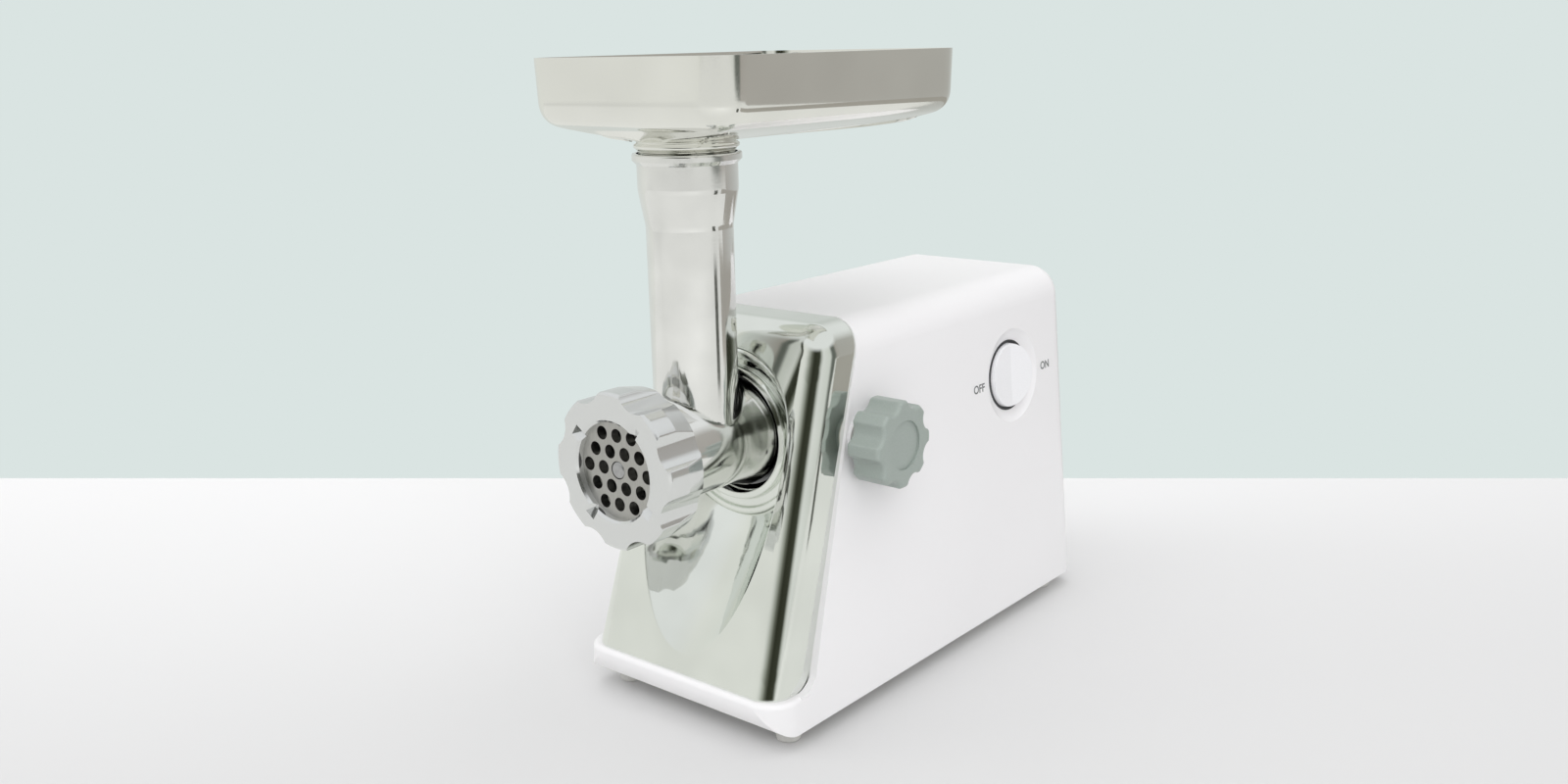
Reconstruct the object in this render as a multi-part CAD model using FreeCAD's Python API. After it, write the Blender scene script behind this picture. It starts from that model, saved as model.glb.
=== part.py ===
"""Electric meat grinder: free-standing kitchen machine with a removable cast head.

Millimetres. +Z is up and z = 0 is the table. The grinding head points to -Y, the
switch and the locking knob are on the +X side, and x = 0 is the machine's midplane.
y = 0 is halfway along the white housing.
"""
import FreeCAD, Part
import math
import os

V = FreeCAD.Vector

# Overall sizes
foot_height = 9.4
body_top = 210.4
half_width_bottom = 72.3
half_width_top = 59.0
rear_y = 143.3
rear_lean = 4.2
front_edge_bottom_y = -137.0
front_slope = 0.318
head_axis_height = 149.0

# Housing shell
wall = 2.6
top_edge_radius = 18.0
rear_edge_radius = 12.0
rim_depth = 3.0
rim_width = 5.5
lip_height = 18.6
lip_front_y = -161.5
lip_corner_radius = 16.0
lip_lower_radius = 15.8
lip_upper_radius = 2.6
lip_sweep_radius = 14.0
post_radius = 4.6
post_height = 26.0
post_inset = 7.6
vent_count = 9
vent_width = 3.0
vent_pitch = 8.0
vent_length = 34.0
vent_height = 70.0

# Base plate and feet
base_thickness = 3.0
rib_thickness = 4.0
pedestal_half = 24.0
base_slot_count = 7
base_slot_pitch = 6.0
base_slot_width = 2.6
base_slot_half = 10.0
foot_radius = 7.25
foot_inset = 14.3
front_foot_y = -137.0
rear_foot_y = 122.0
screw_radius = 1.9
screw_head_radius = 3.6
screw_head_height = 2.2
screw_play = 0.2

# Front panel, its pocket and scoop
panel_depth = 27.5
panel_wall = 2.4
panel_half_bottom = 66.5
panel_inset_top = 0.3
panel_edge_radius = 14.0
panel_top_radius = 17.5
pocket_radius = 46.0
pocket_floor_y = -103.5
pocket_hole_radius = 33.0
scoop_tip_height = 38.0
scoop_depth = 36.0
scoop_start_inset = 3.0
ring_bead = 4.4
ring_step = 2.2
ring_chamfer = 1.0
panel_backing_depth = 14.0
panel_boss_radius = 4.5
panel_boss_clear = 9.0

# Head socket and locking knob
spigot_radius = 25.9
spigot_rear_y = -65.0
socket_gap = 0.08
socket_wall = 4.6
socket_flange_radius = 38.0
socket_flange_thickness = 4.0
socket_screw_inset = 3.6
socket_screw_bite = 3.0
socket_front_y = -101.5
knob_y = -76.4
stud_radius = 4.0
stud_tip_radius = 3.0
stud_tip_length = 4.2
stud_shoulder_gap = 0.8
knob_radius = 23.2
knob_lobes = 8
knob_thickness = 20.0
knob_standoff = 6.5
knob_neck_radius = 11.0
knob_edge_radius = 1.8
knob_face_rounding = 2.2
knob_back_rounding = 1.0
knob_dish_radius = 13.0
knob_dish_depth = 1.2
knob_face_wall = 6.0
knob_boss_height = 1.6
knob_scallop_radius = 7.0
knob_scallop_depth = 3.5
knob_boss_radius = 14.0
washer_radius = 12.5
washer_thickness = 1.4
washer_gap = 0.3
bush_radius = 8.0
bush_length = 12.0

# Grinding head
plate_face_y = -193.0
plate_radius = 27.0
plate_thickness = 5.0
plate_proud = 1.5
plate_hole_radius = 3.5
plate_hole_pitch = 10.15
plate_bore_radius = 4.6
plate_gap = 0.08
chamber_depth = 12.5
thread_radius = 33.0
thread_gap = 0.15
thread_length = 19.0
barrel_radius = 25.6
barrel_bore = 21.8
bell_radius = 29.3
bell_rim = 3.0
bell_rear_y = -105.0
feed_y = -135.7
feed_radius = 21.95
feed_top_radius = 25.15
feed_wall = 2.4
feed_taper_low = 263.0
feed_taper_high = 281.0
feed_taper_rounding = 14.0
feed_lip_radius = 27.3
feed_lip_height = 3.4
feed_top = 299.0
feed_seat_depth = 3.0
nut_radius = 40.0
nut_lobes = 8
nut_front_lip = 4.3
nut_mouth_cover = 2.0
nut_mouth_radius = plate_radius - nut_mouth_cover
nut_length = 26.0
nut_chamfer = 1.2
nut_rear_taper = 2.0
nut_scallop_radius = 13.0
nut_scallop_depth = 4.3
nut_lobe_rounding = 1.5
nut_notch_half = 4.2
nut_notch_depth = 3.4
nut_notch_length = 9.0
nut_notch_turn = 35.0

# Feed screw and knife
screw_clearance = 0.4
flight_pitch = 23.0
flight_thickness = 3.4
core_front_radius = 11.5
core_rear_radius = 8.5
journal_radius = 9.0
knife_margin = 2.0
knife_radius = plate_radius - knife_margin
knife_thickness = 5.5
knife_square = 9.0
drive_hex = 13.0
drive_cup_depth = 13.0
cup_gap = 2.5
running_gap = 0.05
seat_gap = 0.02
face_gap = 0.3
touch = 0.01

# Hopper tray
tray_rim_z = 346.0
tray_half_width = 66.0
tray_front_y = -182.2
tray_rear_y = 12.6
tray_corner_radius = 16.0
tray_wall = 1.2
tray_side_height = 26.0
tray_side_draft = 1.4
tray_edge_radius = 12.0
tray_bead_radius = 26.4
tray_bead_height = 2.6
tray_neck_length = 14.0

# Rocker switch
switch_y = 75.5
switch_z = 152.0
recess_radius = 28.5
recess_floor_radius = 22.6
recess_depth = 3.6
rocker_radius = 19.6
rocker_gap = 0.4
switch_collar = 1.4
rocker_angle = 14.0
rocker_pivot_depth = 2.0
rocker_body_depth = 24.0
rocker_height = 4.6
rocker_pin_radius = 1.5

# Gear train
pressure_angle = math.radians(25.0)
tooth_backlash = 0.16
stage_modules = (1.0, 1.25, 1.5)
stage_pinions = (12, 12, 12)
stage_wheels = (45, 48, 48)
stage_face_widths = (8.0, 10.0, 13.0)
gear_axle_radius = 4.0
gear_side_gap = 1.0
motor_axis_height = 76.0
second_axis_x = 22.0
gearbox_front_y = -48.0
gearbox_wall = 4.0
gearbox_half_left = 43.0
gearbox_half_right = 57.0
gearbox_low = 58.0
gearbox_margin = 2.0
gearbox_side_wall = 2.5
gearbox_screw_inset = 6.0
gearbox_boss_radius = 5.0
gearbox_screw_depth = 14.0
gearbox_corner = 12.0
output_journal_radius = 10.0
output_rear_radius = 6.0
output_cup_radius = 13.5
bush_wall = 2.0

# Motor
stack_half_width = 42.0
stack_half_height = 38.0
stack_length = 40.0
stack_corner = 8.0
stack_front_gap = 26.0
rotor_radius = 21.9
rotor_gap = 0.6
rotor_slots = 12
shaft_radius = 4.0
bearing_radius = 11.0
bearing_width = 7.0
bracket_thickness = 6.0
rear_bracket_gap = 30.0
fan_radius = 32.0
fan_width = 11.0
fan_blades = 11
commutator_radius = 11.0
commutator_length = 15.0
brush_width = 6.0
window_inner_x = 18.0
window_outer_x = 35.0
window_half_height = 24.0
coil_inner_z = 14.3
coil_outer_z = 23.6
coil_half_width = 30.0
coil_overhang = 8.0
coil_corner = 7.0
coil_fit = 0.2
end_turn_radius = 13.6
end_turn_rounding = 2.5
slot_width = 2.4
slot_depth = 8.0
bracket_leg_radius = 4.6
bracket_window_outer_x = 33.0
bracket_window_half_height = 22.0
bearing_seat_wall = 3.0
bearing_seat_height = 2.0
fan_hub_radius = 9.0
fan_disc_thickness = 1.6
fan_blade_thickness = 1.6
fan_gap = 4.0
commutator_bars = 24
commutator_slit = 0.7
commutator_slit_depth = 1.2
commutator_gap = 10.0
brush_length = 15.7
brush_offset = 1.0
holder_wall = 1.2
holder_reach = (3.0, 20.0)
lug_reach = (9.0, 13.0)
lug_thickness = 1.0
strap_height = 27.0
motor_bolt_x = 36.0
motor_bolt_z = 31.0
motor_bolt_radius = 2.0
pad_thickness = 3.0
pad_span = (14.0, 30.0)
pad_end_gap = 4.0

# Power inlet
gland_x = -38.0
gland_z = 34.0
gland_radius = 7.0
gland_bore = 3.6


# ---------------------------------------------------------------- shape helpers

def cylinder(radius, start, end):
    """Cylinder between two points."""
    span = end - start
    return Part.makeCylinder(radius, span.Length, start, span)


def tube(outer, inner, start, end):
    return cylinder(outer, start, end).cut(cylinder(inner, start, end))


def box(x_range, y_range, z_range):
    low = V(x_range[0], y_range[0], z_range[0])
    size = [span[1] - span[0] for span in (x_range, y_range, z_range)]
    return Part.makeBox(size[0], size[1], size[2], low)


def head_point(y, x=0.0, z=0.0):
    """Point at y on the head's axis, moved sideways by x and up by z."""
    return V(x, y, head_axis_height + z)


def motor_point(y, x=0.0, z=0.0):
    return V(x, y, motor_axis_height + z)


def head_rod(radius, start_y, end_y, x=0.0, z=0.0):
    """Cylinder along the head's axis, or beside it."""
    return cylinder(radius, head_point(start_y, x, z), head_point(end_y, x, z))


def head_pipe(outer, inner, start_y, end_y):
    return head_rod(outer, start_y, end_y).cut(head_rod(inner, start_y, end_y))


def motor_rod(radius, start_y, end_y, x=0.0, z=0.0):
    """Cylinder along the motor's axis, or beside it."""
    return cylinder(radius, motor_point(start_y, x, z), motor_point(end_y, x, z))


def motor_pipe(outer, inner, start_y, end_y):
    return motor_rod(outer, start_y, end_y).cut(motor_rod(inner, start_y, end_y))


def rod_along_y(radius, x, z, start_y, end_y):
    return cylinder(radius, V(x, start_y, z), V(x, end_y, z))


def turned(shape, angle, centre):
    """Copy of a shape turned about a line along Y."""
    return shape.copy().rotate(centre, V(0, 1, 0), angle)


def mirrored_span(side, near, far):
    """Range of x between two distances from the midplane, on one side of it."""
    return sorted((side * near, side * far))


def edges_along(shape, direction):
    """Straight edges that run along a direction."""
    return [edge for edge in shape.Edges if abs(edge.tangentAt(edge.FirstParameter).dot(direction)) > 0.9]


def revolve_about_y(profile, centre_z):
    """Solid of revolution about a line along Y, from (y, radius) points."""
    points = [V(0, y, centre_z + radius) for y, radius in profile]
    face = Part.Face(Part.makePolygon(points + points[:1]))
    return face.revolve(V(0, 0, centre_z), V(0, 1, 0), 360)


def revolve_about_z(profile, centre_y):
    """Solid of revolution about a vertical line, from (radius, z) points."""
    points = [V(radius, centre_y, z) for radius, z in profile]
    face = Part.Face(Part.makePolygon(points + points[:1]))
    return face.revolve(V(0, centre_y, 0), V(0, 0, 1), 360)


def drafted_block(lows, highs):
    """Block from (z, half width, front y, rear y) at its bottom and at its top."""
    low_z, low_half, low_front, low_rear = lows
    high_z, high_half, high_front, high_rear = highs
    start_y = min(low_front, high_front) - 1.0
    end_y = max(low_rear, high_rear) + 1.0
    reach = max(low_half, high_half) + 1.0
    across = [V(-low_half, start_y, low_z), V(low_half, start_y, low_z),
              V(high_half, start_y, high_z), V(-high_half, start_y, high_z)]
    along = [V(-reach, low_front, low_z), V(-reach, low_rear, low_z),
             V(-reach, high_rear, high_z), V(-reach, high_front, high_z)]
    sides = Part.Face(Part.makePolygon(across + across[:1])).extrude(V(0, end_y - start_y, 0))
    ends = Part.Face(Part.makePolygon(along + along[:1])).extrude(V(2 * reach, 0, 0))
    return sides.common(ends)


def edges_where(shape, test):
    """Edges whose two end points and middle all pass a test."""
    return [edge for edge in shape.Edges if test(edge.valueAt(edge.FirstParameter))
            and test(edge.valueAt(edge.LastParameter)) and test(edge.CenterOfMass)]


def rounded_rectangle(half_x, half_y, radius, centre, z):
    """Closed wire of four lines and four arcs in a level plane."""
    cx, cy = centre
    edges = []
    corners = [(1, 1), (-1, 1), (-1, -1), (1, -1)]
    arcs = []
    for index, (sx, sy) in enumerate(corners):
        middle = V(cx + sx * (half_x - radius), cy + sy * (half_y - radius), z)
        start = math.radians(90 * index)
        points = [middle + V(radius * math.cos(start + a), radius * math.sin(start + a), 0)
                  for a in (0, math.pi / 4, math.pi / 2)]
        arcs.append(points)
    for index, points in enumerate(arcs):
        edges.append(Part.Arc(*points).toShape())
        edges.append(Part.makeLine(points[2], arcs[(index + 1) % 4][0]))
    return Part.Wire(edges)


def screw(seat, direction, length, radius=None):
    """Pan-head screw: its head's underside is at seat, and its shank runs along direction."""
    radius = radius or screw_radius
    head_radius = radius * screw_head_radius / screw_radius
    back = direction * -screw_head_height
    body = cylinder(radius, seat, seat + direction * length).fuse(cylinder(head_radius, seat, seat + back))
    slot_side = V(direction.y, direction.z, direction.x)
    slot_other = direction.cross(slot_side)
    for along, across in ((slot_side, slot_other), (slot_other, slot_side)):
        corner = seat + back - along * (head_radius * 0.62) - across * 0.45
        face = Part.Face(Part.makePolygon([corner, corner + along * (head_radius * 1.24),
                                           corner + along * (head_radius * 1.24) + across * 0.9,
                                           corner + across * 0.9, corner]))
        body = body.cut(face.extrude(direction * (screw_head_height * 0.6)))
    return body


def regular_prism(across_flats, start, end, turn=0.0, sides=6):
    """Prism along Y with a regular outline of the given width across flats."""
    radius = across_flats / 2 / math.cos(math.pi / sides)
    points = []
    for index in range(sides):
        angle = turn + 2 * math.pi * index / sides
        points.append(start + V(radius * math.cos(angle), 0, radius * math.sin(angle)))
    return Part.Face(Part.makePolygon(points + points[:1])).extrude(end - start)


# ---------------------------------------------------------------- derived places

def half_width(z):
    """Outer half width of the housing at a height."""
    share = (z - foot_height) / (body_top - foot_height)
    return half_width_bottom + (half_width_top - half_width_bottom) * share


def front_edge_y(z):
    """Where the white housing's front edge is at a height."""
    return front_edge_bottom_y + front_slope * (z - foot_height)


def rear_face_y(z):
    return rear_y - rear_lean * (z - foot_height) / (body_top - foot_height)


side_angle = math.atan((half_width_bottom - half_width_top) / (body_top - foot_height))
lip_top = foot_height + lip_height
base_top = foot_height + base_thickness
gearbox_front_inner_y = gearbox_front_y + gearbox_wall
stage_starts = [gearbox_front_inner_y + gear_side_gap]
for stage_width in reversed(stage_face_widths[1:]):
    stage_starts.append(stage_starts[-1] + stage_width + gear_side_gap)
stage_starts.reverse()
gearbox_rear_inner_y = stage_starts[0] + stage_face_widths[0] + gear_side_gap
gearbox_rear_y = gearbox_rear_inner_y + gearbox_wall
stack_front_y = gearbox_rear_y + bracket_thickness + stack_front_gap
stack_rear_y = stack_front_y + stack_length
rear_bracket_y = stack_rear_y + rear_bracket_gap
commutator_front_y = stack_rear_y + commutator_gap
cup_front_y = spigot_rear_y + cup_gap


def stage_distance(stage):
    return stage_modules[stage] * (stage_pinions[stage] + stage_wheels[stage]) / 2


def gear_centres():
    """(x, z) of the motor, first, second and output axes."""
    motor = (0.0, motor_axis_height)
    output = (0.0, head_axis_height)
    drop = math.sqrt(stage_distance(2) ** 2 - second_axis_x ** 2)
    second = (second_axis_x, head_axis_height - drop)
    dx = second[0] - motor[0]
    dz = second[1] - motor[1]
    gap = math.hypot(dx, dz)
    along = (stage_distance(0) ** 2 - stage_distance(1) ** 2 + gap ** 2) / (2 * gap)
    side = math.sqrt(stage_distance(0) ** 2 - along ** 2)
    first = (motor[0] + (along * dx - side * dz) / gap, motor[1] + (along * dz + side * dx) / gap)
    return motor, first, second, output


def mesh_phase(pinion_centre, wheel_centre, pinion_teeth, wheel_teeth, pinion_phase):
    """Turn of a wheel that puts a gap opposite the pinion's tooth."""
    line = math.atan2(wheel_centre[1] - pinion_centre[1], wheel_centre[0] - pinion_centre[0])
    return line + math.pi + math.pi / wheel_teeth - (pinion_phase - line) * pinion_teeth / wheel_teeth


# ---------------------------------------------------------------- gears

def involute(angle):
    return math.tan(angle) - angle


def gear_blank(module, teeth, phase, centre, start_y, width):
    """Spur gear along Y with stub involute teeth; one tooth is centred at the angle phase."""
    pitch_radius = module * teeth / 2
    base_radius = pitch_radius * math.cos(pressure_angle)
    tip_radius = pitch_radius + 0.8 * module
    root_radius = pitch_radius - module
    half_tooth = math.pi / (2 * teeth) - tooth_backlash / 2 / pitch_radius + involute(pressure_angle)
    flank_start = max(root_radius, base_radius)

    def at(radius, angle):
        return V(centre[0] + radius * math.cos(angle), start_y, centre[1] + radius * math.sin(angle))

    def flank_angle(radius):
        return half_tooth - involute(math.acos(min(1.0, base_radius / radius)))

    radii = (flank_start, (flank_start + tip_radius) / 2, tip_radius)
    edges = []
    ends = []
    for index in range(teeth):
        middle = phase + 2 * math.pi * index / teeth
        left = [at(r, middle - flank_angle(r)) for r in radii]
        right = [at(r, middle + flank_angle(r)) for r in radii]
        root_left = at(root_radius, middle - flank_angle(flank_start))
        root_right = at(root_radius, middle + flank_angle(flank_start))
        tooth = []
        if base_radius > root_radius:
            tooth.append(Part.makeLine(root_left, left[0]))
        tooth.append(Part.Arc(*left).toShape())
        tooth.append(Part.makeLine(left[2], right[2]))
        tooth.append(Part.Arc(*reversed(right)).toShape())
        if base_radius > root_radius:
            tooth.append(Part.makeLine(right[0], root_right))
        ends.append((root_left if base_radius > root_radius else left[0],
                     root_right if base_radius > root_radius else right[0]))
        edges.append(tooth)
    outline = []
    for index, tooth in enumerate(edges):
        outline += tooth
        outline.append(Part.makeLine(ends[index][1], ends[(index + 1) % teeth][0]))
    return Part.Face(Part.Wire(outline)).extrude(V(0, width, 0))


def axis_cylinder(centre, radius, start_y, end_y):
    return rod_along_y(radius, centre[0], centre[1], start_y, end_y)


def gear_phases():
    """Phases of the three wheels; every pinion has a tooth at angle zero."""
    centres = gear_centres()
    phases = []
    for i in range(len(stage_wheels)):
        phases.append(mesh_phase(centres[i], centres[i + 1], stage_pinions[i], stage_wheels[i], 0.0))
    return phases


def compound_gear(stage):
    """Wheel of one stage and pinion of the next on one hub, turning on a fixed axle."""
    centre = gear_centres()[stage + 1]
    wheel = gear_blank(stage_modules[stage], stage_wheels[stage], gear_phases()[stage], centre,
                       stage_starts[stage], stage_face_widths[stage])
    pinion = gear_blank(stage_modules[stage + 1], stage_pinions[stage + 1], 0.0, centre,
                        stage_starts[stage + 1], stage_face_widths[stage + 1] + gear_side_gap)
    hub_radius = stage_modules[stage + 1] * (stage_pinions[stage + 1] / 2 - 1)
    front_y = gearbox_front_inner_y + face_gap
    rear_y_of_hub = gearbox_rear_inner_y - face_gap
    hub = axis_cylinder(centre, hub_radius, front_y, rear_y_of_hub)
    body = wheel.fuse([pinion, hub])
    return body.cut(axis_cylinder(centre, gear_axle_radius + running_gap, front_y - 1, rear_y_of_hub + 1))


def gear_axle(stage):
    """Fixed steel pin held by both gearbox halves."""
    centre = gear_centres()[stage + 1]
    return axis_cylinder(centre, gear_axle_radius, gearbox_front_y + gearbox_wall / 2,
                         gearbox_rear_y - gearbox_wall / 2)


def output_gear():
    centre = gear_centres()[3]
    wheel = gear_blank(stage_modules[2], stage_wheels[2], gear_phases()[2], centre,
                       stage_starts[2], stage_face_widths[2])
    hub_end = stage_starts[2] + stage_face_widths[2] + gear_side_gap * 3
    wheel = wheel.fuse(axis_cylinder(centre, output_cup_radius, stage_starts[2], hub_end))
    flats = 2 * output_journal_radius * math.cos(math.pi / 6)
    hole = regular_prism(flats + 2 * seat_gap, V(centre[0], stage_starts[2] - 1, centre[1]),
                         V(centre[0], hub_end + 1, centre[1]))
    return wheel.cut(hole)


def drive_shaft():
    """Output shaft: rear journal, hexagon for the wheel, front journal and hexagonal cup."""
    centre = gear_centres()[3]
    hub_end = stage_starts[2] + stage_face_widths[2] + gear_side_gap * 3
    flats = 2 * output_journal_radius * math.cos(math.pi / 6)
    parts = [
        axis_cylinder(centre, output_rear_radius, hub_end, gearbox_rear_y - face_gap),
        regular_prism(flats, V(0, stage_starts[2], centre[1]), V(0, hub_end, centre[1])),
        axis_cylinder(centre, output_journal_radius, gearbox_front_y - face_gap, stage_starts[2]),
        axis_cylinder(centre, output_cup_radius, cup_front_y, gearbox_front_y - face_gap),
    ]
    body = parts[0].fuse(parts[1:])
    socket = regular_prism(drive_hex, V(0, cup_front_y - 1, centre[1]),
                           V(0, cup_front_y + drive_cup_depth, centre[1]))
    return body.cut(socket)


def output_bush(front):
    """Bronze bush in a gearbox wall for the output shaft."""
    centre = gear_centres()[3]
    radius = output_journal_radius if front else output_rear_radius
    start = gearbox_front_y if front else gearbox_rear_inner_y
    outer = axis_cylinder(centre, radius + bush_wall, start, start + gearbox_wall)
    return outer.cut(axis_cylinder(centre, radius + running_gap, start - 1, start + gearbox_wall + 1))


# ---------------------------------------------------------------- gearbox

def gearbox_top():
    """Height of the case's top, which clears the output wheel by a margin inside its wall."""
    tip_radius = stage_modules[2] * (stage_wheels[2] / 2 + 1)
    return head_axis_height + tip_radius + gearbox_margin + gearbox_side_wall


def gearbox_outline(start_y, end_y, inset=0.0):
    block = box((-gearbox_half_left + inset, gearbox_half_right - inset), (start_y, end_y),
                (gearbox_low + inset, gearbox_top() - inset))
    corners = edges_along(block, V(0, 1, 0))
    return block.makeFillet(gearbox_corner - inset, corners)


def gearbox_screw_places():
    inset = gearbox_screw_inset
    return [(x, z) for x in (-gearbox_half_left + inset, gearbox_half_right - inset)
            for z in (gearbox_low + inset, gearbox_top() - inset)]


def axle_holes(start_y, end_y):
    centres = gear_centres()
    holes = [axis_cylinder(centres[i], gear_axle_radius + seat_gap, start_y, end_y) for i in (1, 2)]
    return holes


def gearbox_front():
    cover = gearbox_outline(gearbox_front_y, gearbox_front_inner_y)
    centre = gear_centres()[3]
    cuts = axle_holes(gearbox_front_y + gearbox_wall / 2, gearbox_front_inner_y + 1)
    cuts.append(axis_cylinder(centre, output_journal_radius + bush_wall + seat_gap,
                              gearbox_front_y - 1, gearbox_front_inner_y + 1))
    for x, z in gearbox_screw_places():
        cuts.append(rod_along_y(screw_radius + screw_play, x, z,
                                gearbox_front_y - 1, gearbox_front_inner_y + 1))
    for x, z in socket_screw_places():
        cuts.append(rod_along_y(screw_radius + seat_gap, x, z, gearbox_front_y - 1,
                                gearbox_front_y + socket_screw_bite))
    return cover.cut(cuts)


def gearbox_rear():
    shell = gearbox_outline(gearbox_front_inner_y, gearbox_rear_y)
    cavity = gearbox_outline(gearbox_front_inner_y - 1, gearbox_rear_inner_y, gearbox_side_wall)
    bosses = []
    for x, z in gearbox_screw_places():
        boss = rod_along_y(gearbox_boss_radius, x, z, gearbox_front_inner_y, gearbox_rear_inner_y)
        bosses.append(boss.common(shell))
    body = shell.cut(cavity).fuse(bosses)
    centres = gear_centres()
    cuts = axle_holes(gearbox_rear_inner_y - 1, gearbox_rear_y - gearbox_wall / 2)
    cuts.append(axis_cylinder(centres[3], output_rear_radius + bush_wall + seat_gap,
                              gearbox_rear_inner_y - 1, gearbox_rear_y + 1))
    cuts.append(axis_cylinder(centres[0], bearing_radius + 1, gearbox_rear_inner_y - 1, gearbox_rear_y + 1))
    for x, z in gearbox_screw_places():
        cuts.append(rod_along_y(screw_radius + seat_gap, x, z, gearbox_front_inner_y - 1,
                                gearbox_front_inner_y + gearbox_screw_depth))
    for x, z in motor_bolt_places():
        if z > gearbox_low + gearbox_wall:
            cuts.append(rod_along_y(motor_bolt_radius + seat_gap, x, z, gearbox_rear_inner_y - 1,
                                    gearbox_rear_y + 1))
    return body.cut(cuts)


def gearbox_screws():
    length = gearbox_wall + gearbox_screw_depth - 2.0
    return [screw(V(x, gearbox_front_y, z), V(0, 1, 0), length) for x, z in gearbox_screw_places()]


# ---------------------------------------------------------------- motor

def motor_bolt_places():
    return [(sx * motor_bolt_x, motor_axis_height + sz * motor_bolt_z) for sx in (-1, 1) for sz in (-1, 1)]


def stack_block(start_y, end_y):
    block = box((-stack_half_width, stack_half_width), (start_y, end_y),
                (motor_axis_height - stack_half_height, motor_axis_height + stack_half_height))
    corners = edges_along(block, V(0, 1, 0))
    return block.makeFillet(stack_corner, corners)


def bolt_holes(start_y, end_y, radius):
    return [rod_along_y(radius, x, z, start_y, end_y) for x, z in motor_bolt_places()]


def stator_stack():
    """Laminated two-pole field frame with a window on each side for the coils."""
    block = stack_block(stack_front_y, stack_rear_y)
    y_span = (stack_front_y - 1, stack_rear_y + 1)
    z_span = (motor_axis_height - window_half_height, motor_axis_height + window_half_height)
    cuts = [motor_rod(rotor_radius + rotor_gap, y_span[0], y_span[1])]
    for side in (-1, 1):
        cuts.append(box(mirrored_span(side, window_inner_x, window_outer_x), y_span, z_span))
    cuts += bolt_holes(y_span[0], y_span[1], motor_bolt_radius + face_gap)
    return block.cut(cuts)


def field_coils():
    """Two windings, one round each pole."""
    coils = []
    y_span = (stack_front_y - coil_overhang, stack_rear_y + coil_overhang)
    pole = window_inner_x + coil_fit
    for side in (-1, 1):
        z_span = sorted((motor_axis_height + side * coil_inner_z, motor_axis_height + side * coil_outer_z))
        outer = box((-coil_half_width, coil_half_width), y_span, z_span)
        outer = outer.makeFillet(coil_corner, edges_along(outer, V(0, 0, 1)))
        inner = box((-pole, pole), (stack_front_y - coil_fit, stack_rear_y + coil_fit),
                    (z_span[0] - 1, z_span[1] + 1))
        coils.append(outer.cut(inner))
    return coils


def motor_bracket(front):
    """Cast bracket: a plate with a bearing seat and four legs that reach the field frame."""
    if front:
        plate_start = gearbox_rear_y
        leg_span = (gearbox_rear_y + bracket_thickness, stack_front_y)
    else:
        plate_start = rear_bracket_y
        leg_span = (stack_rear_y, rear_bracket_y)
    plate_end = plate_start + bracket_thickness
    body = stack_block(plate_start, plate_end)
    legs = [rod_along_y(bracket_leg_radius, x, z, leg_span[0], leg_span[1]) for x, z in motor_bolt_places()]
    seat_start = plate_end if front else plate_start - bearing_seat_height
    seat = motor_rod(bearing_radius + bearing_seat_wall, seat_start, seat_start + bearing_seat_height)
    body = body.fuse(legs + [seat])
    y_span = (plate_start - 3, plate_end + 3)
    z_span = (motor_axis_height - bracket_window_half_height,
              motor_axis_height + bracket_window_half_height)
    cuts = [motor_rod(bearing_radius + seat_gap, y_span[0], y_span[1])]
    cuts += bolt_holes(min(y_span[0], leg_span[0]) - 1, max(y_span[1], leg_span[1]) + 1,
                       motor_bolt_radius + face_gap)
    for side in (-1, 1):
        cuts.append(box(mirrored_span(side, window_inner_x, bracket_window_outer_x), y_span, z_span))
    return body.cut(cuts)


def bearing(front):
    """Ball bearing drawn as one ring with a running bore."""
    start = gearbox_rear_y if front else rear_bracket_y - 1.0
    return motor_pipe(bearing_radius, shaft_radius + running_gap, start, start + bearing_width)


def motor_bolts():
    bolts = []
    for x, z in motor_bolt_places():
        seat = V(x, rear_bracket_y + bracket_thickness, z)
        tip_y = gearbox_rear_inner_y if z > gearbox_low + gearbox_wall else gearbox_rear_y
        bolts.append(screw(seat, V(0, -1, 0), seat.y - tip_y, motor_bolt_radius))
    return bolts


def motor_shaft():
    start = stage_starts[0] - gear_side_gap / 2
    end = rear_bracket_y + bracket_thickness + 3.0
    return motor_rod(shaft_radius, start, end)


def motor_pinion():
    teeth = gear_blank(stage_modules[0], stage_pinions[0], 0.0, gear_centres()[0],
                       stage_starts[0], stage_face_widths[0])
    return teeth.cut(motor_rod(shaft_radius + seat_gap, stage_starts[0] - 1, gearbox_rear_y))


def armature_core():
    core = motor_rod(rotor_radius, stack_front_y, stack_rear_y)
    cuts = [motor_rod(shaft_radius + seat_gap, stack_front_y - 1, stack_rear_y + 1)]
    rim_z = motor_axis_height + rotor_radius
    slot = box((-slot_width / 2, slot_width / 2), (stack_front_y - 1, stack_rear_y + 1),
               (rim_z - slot_depth, rim_z + 1))
    for index in range(rotor_slots):
        cuts.append(turned(slot, 360 / rotor_slots * index, motor_point(0)))
    return core.cut(cuts)


def armature_windings():
    """The end turns at both ends of the armature."""
    rings = []
    for low, high in ((stack_front_y - coil_overhang, stack_front_y - seat_gap),
                      (stack_rear_y + seat_gap, stack_rear_y + coil_overhang)):
        ring = motor_pipe(end_turn_radius, shaft_radius + seat_gap, low, high)
        around = 2 * math.pi * end_turn_radius
        rims = [edge for edge in ring.Edges if edge.Closed and abs(edge.Length - around) < 0.1]
        rings.append(ring.makeFillet(end_turn_rounding, rims))
    return rings


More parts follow.
